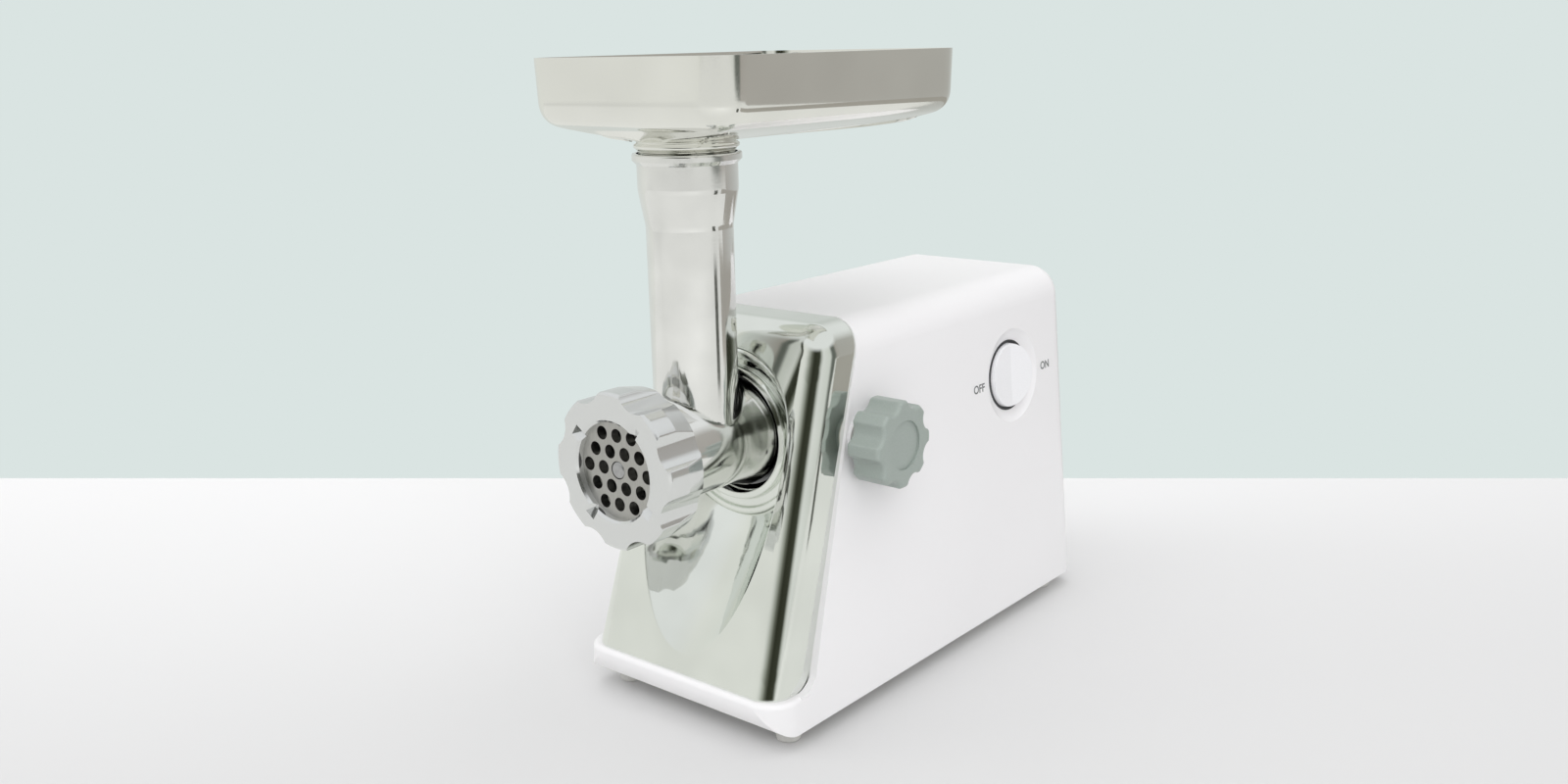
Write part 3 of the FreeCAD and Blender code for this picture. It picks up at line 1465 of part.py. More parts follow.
def on_feed_seam(edge):
    """True on the curve where the feed tube meets the barrel."""
    middle = (edge.FirstParameter + edge.LastParameter) / 2
    for parameter in (edge.FirstParameter, middle, edge.LastParameter):
        point = edge.valueAt(parameter)
        from_feed = math.hypot(point.x, point.y - feed_y)
        from_axis = math.hypot(point.x, point.z - head_axis_height)
        if abs(from_feed - feed_radius) > 0.05 or from_axis > bell_radius or edge.Length < 8:
            return False
    return True


def locking_groove():
    """Groove along the spigot that the knob's tip rides in."""
    half = stud_tip_radius + face_gap
    floor_x = spigot_radius - stud_tip_length + 0.4
    return box((floor_x, spigot_radius + 3.0), (knob_y - half - 0.4, spigot_rear_y + 1),
               (head_axis_height - half, head_axis_height + half))


def plate_pin_place():
    return head_point(plate_face_y + plate_proud, z=plate_radius)


def plate_pin_hole():
    place = plate_pin_place()
    return cylinder(1.5 + seat_gap, place - V(0, 1, 0), place + V(0, 7.0, 0))


def plate_pin():
    """Small pin that stops the cutting plate turning."""
    place = plate_pin_place()
    return cylinder(1.5, place + V(0, 0.2, 0), place + V(0, 7.0, 0))


def screw_bush():
    """Bush in the spigot's rear wall for the feed screw's journal."""
    return head_pipe(journal_radius + bush_wall, journal_radius + running_gap,
                     spigot_wall_y(), spigot_rear_y)


def cutting_plate():
    """Steel disc with eighteen holes round the screw's pin, and a notch for the locating pin."""
    rear_y_of_plate = plate_face_y + plate_thickness
    disc = head_rod(plate_radius, plate_face_y, rear_y_of_plate)
    cuts = [head_rod(plate_bore_radius, plate_face_y - 1, rear_y_of_plate + 1)]
    row_height = plate_hole_pitch * math.sqrt(3) / 2
    for row in range(-2, 3):
        count = 5 - abs(row)
        for column in range(count):
            x = (column - (count - 1) / 2) * plate_hole_pitch
            if row == 0 and abs(x) < 1:
                continue
            cuts.append(head_rod(plate_hole_radius, plate_face_y - 1, rear_y_of_plate + 1,
                                 x, row * row_height))
    place = plate_pin_place()
    cuts.append(rod_along_y(1.5 + plate_gap, place.x, place.z, plate_face_y - 1, rear_y_of_plate + 1))
    return disc.cut(cuts)


def ring_nut():
    """Cast ring nut with eight grip lobes and four notches in its front lip."""
    front_y = plate_face_y - nut_front_lip
    lip_y = plate_face_y - running_gap
    end_y = front_y + nut_length
    bore = thread_radius + thread_gap
    rear_radius = nut_radius - nut_rear_taper
    profile = [(front_y, nut_mouth_radius + nut_chamfer), (front_y, nut_radius - nut_chamfer),
               (front_y + nut_chamfer, nut_radius), (front_y + nut_length / 2, nut_radius),
               (end_y - nut_chamfer, rear_radius), (end_y, rear_radius - nut_chamfer), (end_y, bore),
               (lip_y, bore), (lip_y, nut_mouth_radius), (front_y + nut_chamfer, nut_mouth_radius)]
    body = revolve_about_y(profile, head_axis_height)
    reach = nut_radius - nut_scallop_depth + nut_scallop_radius
    cuts = []
    for index in range(nut_lobes):
        angle = math.radians(360 / nut_lobes * (index + 0.5))
        cuts.append(head_rod(nut_scallop_radius, front_y - 1, end_y + 1,
                             reach * math.cos(angle), reach * math.sin(angle)))
    body = body.cut(cuts)
    body = body.makeFillet(nut_lobe_rounding, edges_where(body, lambda p: on_lobe_edge(p, front_y, end_y)))
    notch = nut_notch(front_y)
    return body.cut([turned(notch, nut_notch_turn + 90 * index, head_point(0)) for index in range(4)])


def on_lobe_edge(point, front_y, end_y):
    """True on the long edges between a lobe's crown and the scallops beside it."""
    radius = math.hypot(point.x, point.z - head_axis_height)
    inside = front_y + nut_chamfer - touch < point.y < end_y - nut_chamfer + touch
    return inside and radius > nut_radius - nut_rear_taper - touch


def nut_notch(front_y):
    """V-shaped notch across the front lip, pointing up."""
    low = head_axis_height + nut_mouth_radius - 3.0
    profile = [V(-nut_notch_half, front_y - 1, low), V(nut_notch_half, front_y - 1, low),
               V(0, front_y + nut_notch_depth, low)]
    return Part.Face(Part.makePolygon(profile + profile[:1])).extrude(V(0, 0, nut_notch_length))


# ---------------------------------------------------------------- feed screw

def flight_start_y():
    return plate_face_y + plate_thickness + face_gap + knife_thickness + 1.0


def flight_end_y():
    return spigot_wall_y() - 4.0


def screw_core():
    """Tapered core with a rear flange and journal."""
    start = flight_start_y()
    end = spigot_wall_y() - 1.0
    outer = barrel_bore - screw_clearance
    profile = [(start, 0), (start, core_front_radius), (end - 8.0, core_rear_radius), (end - 3.0, outer),
               (end, outer), (end, journal_radius), (spigot_rear_y + 1.0, journal_radius), (spigot_rear_y + 1.0, 0)]
    return revolve_about_y(profile, head_axis_height)


def feed_screw():
    """Cast feed screw: core, one helical flight and sockets for its two steel ends."""
    start = flight_start_y()
    length = flight_end_y() - start
    helix = Part.makeHelix(flight_pitch, length, core_rear_radius)
    inner = core_rear_radius - 2.0
    outer = barrel_bore - screw_clearance
    profile = Part.makePolygon([V(inner, 0, -flight_thickness), V(outer, 0, -flight_thickness * 0.4),
                                V(outer, 0, flight_thickness * 0.4), V(inner, 0, flight_thickness),
                                V(inner, 0, -flight_thickness)])
    flight = Part.Wire(helix.Edges).makePipeShell([profile], True, True)
    flight.rotate(V(0, 0, 0), V(1, 0, 0), -90)
    flight.translate(head_point(start))
    slab = head_rod(outer + 1, start, flight_end_y() + 2.0)
    body = screw_core().fuse(flight.common(slab))
    cuts = [regular_prism(knife_square + 2 * seat_gap, head_point(start - 1), head_point(start + 14.0), math.pi / 4, 4),
            regular_prism(drive_hex - 0.2 + 2 * seat_gap, head_point(spigot_rear_y - 12.0), head_point(spigot_rear_y + 2))]
    return body.cut(cuts)


def screw_front_pin():
    """Steel square that carries the knife, with a round pin that runs in the plate."""
    start = flight_start_y()
    square = regular_prism(knife_square, head_point(plate_face_y + plate_thickness + face_gap),
                           head_point(start + 13.6), math.pi / 4, 4)
    pin_radius = plate_bore_radius - running_gap
    pin = head_rod(pin_radius, plate_face_y - 0.4, plate_face_y + plate_thickness + face_gap)
    front = [edge for edge in pin.Edges if edge.Closed and edge.CenterOfMass.y < plate_face_y]
    pin = pin.makeFillet(1.6, front)
    return square.fuse(pin)


def screw_drive_end():
    """Steel hexagon at the feed screw's rear that enters the drive shaft's cup."""
    tip_y = cup_front_y + drive_cup_depth - 1.0
    return regular_prism(drive_hex - 0.2, head_point(spigot_rear_y - 11.6), head_point(tip_y))


def knife():
    """Four-armed cutting knife."""
    front = plate_face_y + plate_thickness + face_gap
    rear = front + knife_thickness
    hub = head_rod(10.0, front, rear)
    points = [V(8.0, front, 4.0), V(knife_radius, front, 1.0), V(knife_radius, front, -4.2), V(8.0, front, -7.0)]
    arm = Part.Face(Part.makePolygon([p + V(0, 0, head_axis_height) for p in points + points[:1]]))
    arm = arm.extrude(V(0, knife_thickness, 0)).common(head_rod(knife_radius, front, rear))
    wedge_points = [V(6.0, front + 1.2, -7.5), V(6.0, rear + 1, -7.5), V(6.0, rear + 1, 0.5)]
    wedge = Part.Face(Part.makePolygon([p + V(0, 0, head_axis_height) for p in wedge_points + wedge_points[:1]]))
    arm = arm.cut(wedge.extrude(V(30, 0, 0)))
    arms = [arm.copy().rotate(head_point(0), V(0, 1, 0), 90 * i) for i in range(4)]
    body = hub.fuse(arms)
    hole = regular_prism(knife_square + 2 * seat_gap, head_point(front - 1), head_point(rear + 1), math.pi / 4, 4)
    return body.cut(hole)


# ---------------------------------------------------------------- hopper tray

def tray_sections(inset):
    """(z, half x, front y, rear y, corner radius) from the throat up to the rim."""
    bottom_z = tray_rim_z - tray_side_height
    rows = []
    throat_z = feed_top + 2.6 + tray_bead_height
    throat = tray_bead_radius - 0.8
    rows.append((throat_z, throat, feed_y - throat, feed_y + throat, throat - 0.4))
    steps = 5
    for index in range(steps + 1):
        angle = math.radians(15 + 75 * index / steps)
        back = tray_edge_radius * (1 - math.sin(angle))
        lift = tray_edge_radius * (1 - math.cos(angle))
        radius = max(tray_corner_radius - back * 0.5, 6.0)
        draft = tray_side_draft
        rows.append((bottom_z + lift, tray_half_width - draft - back, tray_front_y + draft + back,
                     tray_rear_y - draft - back, radius))
    rows.append((tray_rim_z, tray_half_width, tray_front_y, tray_rear_y, tray_corner_radius))
    return [(z + inset, hx - inset, fy + inset, ry - inset, max(r - inset, 1.0)) for z, hx, fy, ry, r in rows]


def tray_solid(inset):
    wires = []
    rows = tray_sections(inset)
    for z, half_x, front, rear, radius in rows:
        wires.append(rounded_rectangle(half_x, (rear - front) / 2, radius, (0.0, (front + rear) / 2), z))
    return Part.makeLoft(wires, True, True)


def hopper_tray():
    """Thin pressed tray with a neck that drops into the feed tube."""
    seat_z = feed_top - feed_seat_depth + running_gap
    neck_top = feed_top + 2.6 + tray_bead_height
    outer_radius = feed_top_radius - running_gap * 2
    neck_outer = [(0, seat_z - tray_neck_length + 3.0), (feed_seat_radius() - 0.1, seat_z - tray_neck_length + 3.0),
                  (feed_seat_radius() - 0.1, seat_z), (outer_radius, seat_z), (outer_radius, feed_top + 2.6),
                  (tray_bead_radius, feed_top + 3.0), (tray_bead_radius, neck_top), (0, neck_top)]
    body = tray_solid(0.0).fuse(revolve_about_z(neck_outer, feed_y))
    throat = feed_seat_radius() - 0.1 - tray_wall
    bore = cylinder(throat, V(0, feed_y, seat_z - tray_neck_length), V(0, feed_y, neck_top + 12.0))
    return body.cut([tray_solid(tray_wall), bore])


# ---------------------------------------------------------------- export

def save(name, shapes):
    """Write one node; a list is a group of separate solids."""
    solids = shapes if isinstance(shapes, list) else [shapes]
    flat = []
    for shape in solids:
        flat += shape.Solids
    shape = Part.makeCompound(flat) if len(flat) > 1 else flat[0]
    shape.exportStep(os.path.join("parts", name + ".step"))
    box_of = shape.BoundBox
    print("%-20s solids %2d valid %s volume %9.1f  x %.1f..%.1f y %.1f..%.1f z %.1f..%.1f" % (
        name, len(flat), shape.isValid(), shape.Volume, box_of.XMin, box_of.XMax,
        box_of.YMin, box_of.YMax, box_of.ZMin, box_of.ZMax))


def main():
    os.makedirs("parts", exist_ok=True)
    nodes = {
        "housing_shell": housing_shell, "base_plate": base_plate, "base_screws": base_screws,
        "feet": feet, "foot_screws": foot_screws, "cord_gland": cord_gland,
        "front_panel": front_panel, "panel_screws": panel_screws, "socket_ring": socket_ring,
        "head_socket": head_socket, "socket_screws": socket_screws,
        "knob_bush": knob_bush, "knob_washer": knob_washer, "knob_grip": knob_grip, "knob_stud": knob_stud,
        "switch_rocker": switch_rocker, "rocker_pin": rocker_pin, "switch_body": switch_body,
        "switch_terminals": switch_terminals,
        "gearbox_front": gearbox_front, "gearbox_rear": gearbox_rear, "gearbox_screws": gearbox_screws,
        "first_gear": lambda: compound_gear(0), "second_gear": lambda: compound_gear(1),
        "first_axle": lambda: gear_axle(0), "second_axle": lambda: gear_axle(1),
        "output_gear": output_gear, "drive_shaft": drive_shaft,
        "front_output_bush": lambda: output_bush(True), "rear_output_bush": lambda: output_bush(False),
        "stator_stack": stator_stack, "field_coils": field_coils,
        "motor_front_bracket": lambda: motor_bracket(True), "motor_rear_bracket": lambda: motor_bracket(False),
        "front_bearing": lambda: bearing(True), "rear_bearing": lambda: bearing(False),
        "motor_bolts": motor_bolts, "motor_pads": motor_pads,
        "carbon_brushes": carbon_brushes, "brush_holders": brush_holders,
        "motor_shaft": motor_shaft, "motor_pinion": motor_pinion, "armature_core": armature_core,
        "armature_windings": armature_windings, "commutator": commutator, "cooling_fan": cooling_fan,
        "head_casting": head_casting, "plate_pin": plate_pin, "screw_bush": screw_bush,
        "cutting_plate": cutting_plate, "ring_nut": ring_nut,
        "feed_screw": feed_screw, "screw_front_pin": screw_front_pin, "screw_drive_end": screw_drive_end,
        "knife": knife, "hopper_tray": hopper_tray,
    }
    for name, make in nodes.items():
        save(name, make())


main()
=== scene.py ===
# %% [markdown]
# # An electric meat grinder
#
# The machine's solids come ready made and in place. This lesson gives each of them the finish
# of its real material, remodels the tray, whose smooth curved surfaces show most, and prints
# the switch's lettering. Everything is in metres: z = 0 is the table, the grinding head points
# to -y, and the knob and the switch are on the +x side.

# %% Load the solids
import bpy
import bmesh
import math
from mathutils import Matrix, Vector


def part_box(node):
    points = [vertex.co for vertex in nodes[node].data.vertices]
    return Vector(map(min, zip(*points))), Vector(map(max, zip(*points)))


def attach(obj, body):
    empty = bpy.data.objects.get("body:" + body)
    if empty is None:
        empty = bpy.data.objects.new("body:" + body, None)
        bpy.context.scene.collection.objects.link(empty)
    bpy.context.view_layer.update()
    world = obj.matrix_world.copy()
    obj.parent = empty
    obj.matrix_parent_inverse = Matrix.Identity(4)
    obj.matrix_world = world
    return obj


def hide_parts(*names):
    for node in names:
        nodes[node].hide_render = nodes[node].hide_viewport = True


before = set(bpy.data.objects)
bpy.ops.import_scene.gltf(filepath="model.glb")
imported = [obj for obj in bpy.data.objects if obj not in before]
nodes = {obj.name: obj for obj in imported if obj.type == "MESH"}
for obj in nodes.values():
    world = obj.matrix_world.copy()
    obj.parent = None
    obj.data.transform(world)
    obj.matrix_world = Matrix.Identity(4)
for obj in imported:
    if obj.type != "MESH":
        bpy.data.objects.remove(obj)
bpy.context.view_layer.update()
MM = 0.001
FEED_Y = -135.7 * MM


# %% [markdown]
# ## Helpers
#
# Colours are written as the hex values that a paint chart would give, and turned to the linear
# numbers that the renderer adds and multiplies. Shader nodes are added one at a time by a
# single function, so that each material reads as a list of its steps.

# %% Colours, nodes and materials
def linear(hex_colour):
    """sRGB hex text to a linear RGBA colour."""
    values = [int(hex_colour[i:i + 2], 16) / 255 for i in (1, 3, 5)]
    return [v / 12.92 if v <= 0.04045 else ((v + 0.055) / 1.055) ** 2.4 for v in values] + [1.0]


def add_node(tree, kind, links=(), inputs=None, **settings):
    """Add one node, set its settings and its inputs, and link other nodes' outputs to it."""
    node = tree.nodes.new(kind)
    for name, value in settings.items():
        setattr(node, name, value)
    for name, value in (inputs or {}).items():
        node.inputs[name].default_value = value
    for source, output, name in links:
        tree.links.new(source.outputs[output], node.inputs[name])
    return node


def new_material(name, **surface):
    """A material with one Principled shader whose sockets are set by name."""
    material = bpy.data.materials.new(name)
    material.use_nodes = True
    tree = material.node_tree
    shader = tree.nodes["Principled BSDF"]
    for socket, value in surface.items():
        shader.inputs[socket.replace("_", " ")].default_value = value
    return material, tree, shader


def place_in_mm(tree, stretch=(1.0, 1.0, 1.0)):
    """The surface's own place, scaled so that one unit is one millimetre."""
    coordinates = add_node(tree, "ShaderNodeTexCoord")
    scale = [1000.0 * value for value in stretch]
    return add_node(tree, "ShaderNodeVectorMath", [(coordinates, "Object", 0)], {1: scale},
                    operation="MULTIPLY")


def vary_colour(tree, shader, pattern, output, low, high, start=0.3, end=0.7):
    """Spread a pattern's values between two colours and give them to the shader."""
    spread = add_node(tree, "ShaderNodeMapRange", [(pattern, output, "Value")],
                      {"From Min": start, "From Max": end})
    mixed = add_node(tree, "ShaderNodeMix", [(spread, "Result", 0)], {6: linear(low), 7: linear(high)},
                     data_type="RGBA")
    tree.links.new(mixed.outputs[2], shader.inputs["Base Color"])


def vary_roughness(tree, shader, pattern, output, low, high, start=0.3, end=0.7):
    """Spread a pattern's values between two roughnesses and give them to the shader."""
    spread = add_node(tree, "ShaderNodeMapRange", [(pattern, output, "Value")],
                      {"From Min": start, "From Max": end, "To Min": low, "To Max": high})
    tree.links.new(spread.outputs["Result"], shader.inputs["Roughness"])


def raise_surface(tree, shader, pattern, output, height_mm, strength=1.0):
    """Bump from a pattern: height_mm is how far its full range stands up."""
    bump = add_node(tree, "ShaderNodeBump", [(pattern, output, "Height")],
                    {"Strength": strength, "Distance": height_mm * MM})
    tree.links.new(bump.outputs["Normal"], shader.inputs["Normal"])


def finish_with(material, *names):
    """Give CAD nodes this material in every slot."""
    for name in names:
        for slot in nodes[name].material_slots:
            slot.material = material
    print(material.name, "on", len(names), "pieces")


print("helpers ready")


# %% [markdown]
# ## The studio
#
# A pale floor runs back to a level line where the wall starts. The wall is the world's own
# colour as the camera sees it, so it needs no object that would block a view from behind.
# A little roll tilts the camera, so the floor's far edge is laid along the line that comes out
# level in its view: the edge runs where the plane through the eye and that line meets the floor.
# The floor's grey is painted darkest between the camera and the machine, as painted shade deeper than the
# lamps alone give.

# %% Camera
EYE = Vector((0.47865, -0.63648, 0.35112))
YAW, PITCH, ROLL = math.radians(39.96), math.radians(14.25), math.radians(-1.29)
FOCAL_LENGTH = 31.763

forward = Vector((-math.sin(YAW) * math.cos(PITCH), math.cos(YAW) * math.cos(PITCH), -math.sin(PITCH)))
level_right = Vector((math.cos(YAW), math.sin(YAW), 0.0))
level_up = level_right.cross(forward)
right = math.cos(ROLL) * level_right + math.sin(ROLL) * level_up
up = -math.sin(ROLL) * level_right + math.cos(ROLL) * level_up
lens = bpy.data.cameras.new("camera")
lens.lens = FOCAL_LENGTH
lens.clip_start = 0.01
camera = bpy.data.objects.new("camera", lens)
camera.matrix_world = Matrix((
    (right.x, up.x, -forward.x, EYE.x),
    (right.y, up.y, -forward.y, EYE.y),
    (right.z, up.z, -forward.z, EYE.z),
    (0, 0, 0, 1)))
bpy.context.scene.collection.objects.link(camera)
bpy.context.scene.camera = camera
bpy.context.scene.view_settings.view_transform = "Standard"
print("camera looks along", [round(v, 3) for v in forward])

# %% Floor
HORIZON_DROP = 0.06233    # how far below the view's middle the wall's foot is, per unit of distance
FLOOR_REACH = 3.0         # half the floor's side, in metres
SHADE_SPAN = 2.0          # the floor's painted shade covers this far in front of the origin and behind it
# distance behind the origin as the camera looks, in metres, with the grey painted there; the darker greys
# are painted shade on white paper
FLOOR_PAINTED_SHADE = [(-1.1, "#FFFFFF"), (-0.4, "#CBCBCB"), (0.5, "#FBFBFB")]
MIRRORED_SHARE = 0.8      # how much of the even glow the mirrored rays get


def deselect_everything():
    """Leave nothing selected, so that the next step changes only its own piece."""
    bpy.ops.object.select_all(action="DESELECT")


def settle(piece, name):
    """Name a finished piece and move its place into its mesh."""
    piece.name = name
    bpy.ops.object.transform_apply(location=True, rotation=True, scale=True)
    return piece


def build_floor():
    """A square floor whose far edge is where the wall starts."""
    deselect_everything()
    sight = forward - HORIZON_DROP * up
    far_point = EYE + sight * (EYE.z / -sight.z)
    edge = sight.cross(right).cross(Vector((0, 0, 1))).normalized()
    away = Vector((-edge.y, edge.x, 0.0))
    if away.dot(forward) < 0:
        away = -away
    middle = far_point - away * FLOOR_REACH
    turn = math.atan2(edge.y, edge.x)
    bpy.ops.mesh.primitive_plane_add(size=2 * FLOOR_REACH, location=middle, rotation=(0, 0, turn))
    floor = settle(bpy.context.object, "floor")
    material, tree, shader = new_material("matt_white_paper", Roughness=0.92)
    shader.inputs["Specular IOR Level"].default_value = 0.15
    # painted shade: the paper's grey dips darkest in front of the machine, where the lamps alone leave it
    # too bright
    coordinates = add_node(tree, "ShaderNodeTexCoord")
    run = add_node(tree, "ShaderNodeVectorMath", [(coordinates, "Object", 0)], {1: tuple(away)},
                   operation="DOT_PRODUCT")
    share = add_node(tree, "ShaderNodeMapRange", [(run, "Value", "Value")],
                     {"From Min": -SHADE_SPAN, "From Max": SHADE_SPAN})
    painted_shade_ramp = add_node(tree, "ShaderNodeValToRGB", [(share, "Result", "Fac")])
    stops = painted_shade_ramp.color_ramp.elements
    stops.new(0.5)
    for stop, (distance, grey) in zip(stops, FLOOR_PAINTED_SHADE):
        stop.position = (distance + SHADE_SPAN) / (2 * SHADE_SPAN)
        stop.color = linear(grey)
    tree.links.new(painted_shade_ramp.outputs["Color"], shader.inputs["Base Color"])
    # metal mirrors parts of the floor that the lamps don't reach, so mirrored rays see it evenly lit
    rays = add_node(tree, "ShaderNodeLightPath")
    glow = add_node(tree, "ShaderNodeEmission", inputs={"Color": linear("#ECEDE9"), "Strength": 1.0})
    mirrored = add_node(tree, "ShaderNodeMath", [(rays, "Is Glossy Ray", 0)], {1: MIRRORED_SHARE},
                        operation="MULTIPLY")
    mixed = add_node(tree, "ShaderNodeMixShader", [(mirrored, 0, 0), (shader, 0, 1), (glow, 0, 2)])
    tree.links.new(mixed.outputs[0], tree.nodes["Material Output"].inputs["Surface"])
    floor.data.materials.append(material)
    return floor


floor = build_floor()
print("floor reaches", [round(v, 2) for v in floor.dimensions])

# %% [markdown]
# ## Light
#
# Polished metal shows the room more than its own colour. The room here is a direction-based
# grey: bright panels to the left and above, a dark strip on the camera's own side where the
# unlit end of the room would be, and a browner wall to the right and behind. Rough surfaces
# get one even level instead, so the plastics stay evenly lit. The lamps aren't mirrored, as
# their hard outlines would show in the chrome.

# %% Wall colour and room light
# heading from +y clockwise through +x, -y and -x, in degrees, with the grey seen there
ROOM_WALL = [(-180, "#B4B7AF"), (-170, "#DCDED9"), (-160, "#ECEDE8"), (-128, "#F0F1ED"),
             (-100, "#EEF0EB"), (-60, "#E0E5E2"), (0, "#C9CBC8"), (52, "#B0ACA6"),
             (64, "#6C706A"), (76, "#70746E"), (86, "#DDE0DB"), (116, "#E9EBE8"),
             (124, "#B9BCB5"), (131, "#3E4136"), (154, "#34362B"), (166, "#6A6D62"),
             (180, "#B4B7AF")]
# how steeply a direction climbs, as a sine, where the wall starts to turn to ceiling and where it has
CEILING_START, CEILING_END = 0.45, 0.62
CEILING_GREY, EVEN_GREY, WALL_COLOUR = "#F3F5F5", "#F6F6F7", "#DAE4E2"
MIRRORED_STRENGTH, EVEN_STRENGTH, SEEN_STRENGTH = 0.95, 0.6, 1.0


def build_world():
    """Bands of light for the reflections, an even level for rough surfaces, a wall for the camera."""
    world = bpy.data.worlds.new("room")
    world.use_nodes = True
    tree = world.node_tree
    tree.nodes.clear()
    rays = add_node(tree, "ShaderNodeLightPath")
    direction = add_node(tree, "ShaderNodeTexCoord")
    parts = add_node(tree, "ShaderNodeSeparateXYZ", [(direction, "Generated", 0)])
    turn = add_node(tree, "ShaderNodeMath", [(parts, "X", 0), (parts, "Y", 1)], operation="ARCTAN2")
    share = add_node(tree, "ShaderNodeMapRange", [(turn, 0, "Value")],
                     {"From Min": -math.pi, "From Max": math.pi})
    bands = add_node(tree, "ShaderNodeValToRGB", [(share, 0, "Fac")])
    stops = bands.color_ramp.elements
    while len(stops) < len(ROOM_WALL):
        stops.new(0.5)
    for stop, (heading, grey) in zip(stops, ROOM_WALL):
        stop.position = (heading + 180) / 360
        stop.color = linear(grey)
    height = add_node(tree, "ShaderNodeMapRange", [(parts, "Z", "Value")],
                      {"From Min": CEILING_START, "From Max": CEILING_END})
    ceiling = add_node(tree, "ShaderNodeMix", [(height, 0, 0), (bands, "Color", 6)],
                       {7: linear(CEILING_GREY)}, data_type="RGBA")
    mirrored = add_node(tree, "ShaderNodeBackground", [(ceiling, 2, "Color")],
                        {"Strength": MIRRORED_STRENGTH})
    even = add_node(tree, "ShaderNodeBackground",
                    inputs={"Color": linear(EVEN_GREY), "Strength": EVEN_STRENGTH})
    seen = add_node(tree, "ShaderNodeBackground",
                    inputs={"Color": linear(WALL_COLOUR), "Strength": SEEN_STRENGTH})
    lit = add_node(tree, "ShaderNodeMixShader", [(rays, "Is Glossy Ray", 0), (even, 0, 1), (mirrored, 0, 2)])
    mixed = add_node(tree, "ShaderNodeMixShader", [(rays, "Is Camera Ray", 0), (lit, 0, 1), (seen, 0, 2)])
    add_node(tree, "ShaderNodeOutputWorld", [(mixed, 0, "Surface")])
    bpy.context.scene.world = world


build_world()
print("room light set from", len(ROOM_WALL), "headings")

# %% Lamps
def add_softbox(name, place, aim, width, height, power):
    """A rectangular lamp of so many watts, aimed at a point and not mirrored in metal."""
    lamp = bpy.data.lights.new(name, "AREA")
    lamp.shape = "RECTANGLE"
    lamp.size = width
    lamp.size_y = height
    lamp.energy = power
    holder = bpy.data.objects.new(name, lamp)
    direction = Vector(aim) - Vector(place)
    holder.matrix_world = Matrix.Translation(place) @ direction.to_track_quat("-Z", "Y").to_matrix().to_4x4()
    holder.visible_glossy = False
    bpy.context.scene.collection.objects.link(holder)


SOFTBOXES = [
    ("overhead_softbox", (0.1, -0.2, 1.5), (0, 0, 0.1), 2.2, 2.2, 16.0),
    ("left_softbox", (-1.2, -1.1, 0.9), (0, 0, 0.15), 0.9, 1.2, 6.5),
    ("right_softbox", (0.95, -0.85, 0.7), (0, -0.02, 0.12), 0.8, 0.9, 5.4),
]
for softbox in SOFTBOXES:
    add_softbox(*softbox)
print("lamps placed:", len(SOFTBOXES))

# %% [markdown]
# ## Cards
#
# Upright polished metal mirrors the floor more than the room, so it would look blank between
# its edges. Studios stand strips of card round such metal to draw bands down its sides. Here the strips
# glow with a set grey instead of being lit, as painted reflections: one narrow and dark, one broad and
# brown, both seen in reflections only.

# %% Cards for the polished metal
CARD_DISTANCE = 0.75      # from the feed tube's axis, in metres
CARD_HEIGHT = 0.13
# heading and width as seen from the feed tube, in degrees
CARDS = [("dark_card", 71, 9, "#5A5C56"), ("brown_card", 22, 70, "#AAA7A0")]


def stand_card(name, heading, turn_width, grey):
    """An upright card on the floor that glows with a set grey, mirrored in bright metal as a painted
    reflection and unseen by everything else.
    """
    deselect_everything()
    angle = math.radians(heading)
    width = 2 * CARD_DISTANCE * math.tan(math.radians(turn_width) / 2)
    place = (CARD_DISTANCE * math.sin(angle), FEED_Y + CARD_DISTANCE * math.cos(angle), CARD_HEIGHT / 2)
    bpy.ops.mesh.primitive_plane_add(size=1.0, location=place, rotation=(math.pi / 2, 0, -angle))
    bpy.context.object.scale = (width, CARD_HEIGHT, 1.0)
    card = settle(bpy.context.object, name)
    material = bpy.data.materials.new(name + "_paper")
    material.use_nodes = True
    tree = material.node_tree
    tree.nodes.clear()
    # the card glows with its set grey instead of being lit: a painted reflection
    glow = add_node(tree, "ShaderNodeEmission", inputs={"Color": linear(grey), "Strength": 1.0})
    add_node(tree, "ShaderNodeOutputMaterial", [(glow, 0, "Surface")])
    card.data.materials.append(material)
    card.visible_camera = False
    card.visible_diffuse = False
    card.visible_shadow = False


for card in CARDS:
    stand_card(*card)
print("cards stand:", len(CARDS))


# %% [markdown]
# ## White plastics
#
# The housing is ABS, injection moulded in a polished tool: bright white, glossy, with the very
# slight waviness of a large moulding as it cools. The base and the rocker come from finer or
# more matt tools. ABS has an IOR of about 1.53.

# %% Housing, base and switch plastics
def glossy_moulded_abs():
    """A polished tool's gloss, drifting slowly over 80 mm, and a grain too fine to see singly."""
    material, tree, shader = new_material("glossy_moulded_abs", IOR=1.53)
    place = place_in_mm(tree)
    waves = add_node(tree, "ShaderNodeTexNoise", [(place, 0, "Vector")], {"Scale": 0.012, "Detail": 0.0})
    vary_colour(tree, shader, waves, "Fac", "#F0EFF0", "#F4F3F4", 0.0, 1.0)
    vary_roughness(tree, shader, waves, "Fac", 0.285, 0.32, 0.0, 1.0)
    grain = add_node(tree, "ShaderNodeTexNoise", [(place, 0, "Vector")], {"Scale": 1.2, "Detail": 2.0})
    raise_surface(tree, shader, grain, "Fac", 0.008, 0.5)
    return material


finish_with(glossy_moulded_abs(), "housing_shell")


def satin_moulded_abs(name, low, high, roughness):
    """A spark-eroded tool leaves a fine, even grain about 0.4 mm across."""
    material, tree, shader = new_material(name, IOR=1.53)
    grain = add_node(tree, "ShaderNodeTexNoise", [(place_in_mm(tree), 0, "Vector")],
                     {"Scale": 1.4, "Detail": 3.0})
    vary_colour(tree, shader, grain, "Fac", low, high)
    vary_roughness(tree, shader, grain, "Fac", roughness, roughness + 0.1)
    raise_surface(tree, shader, grain, "Fac", 0.03, 0.6)
    return material


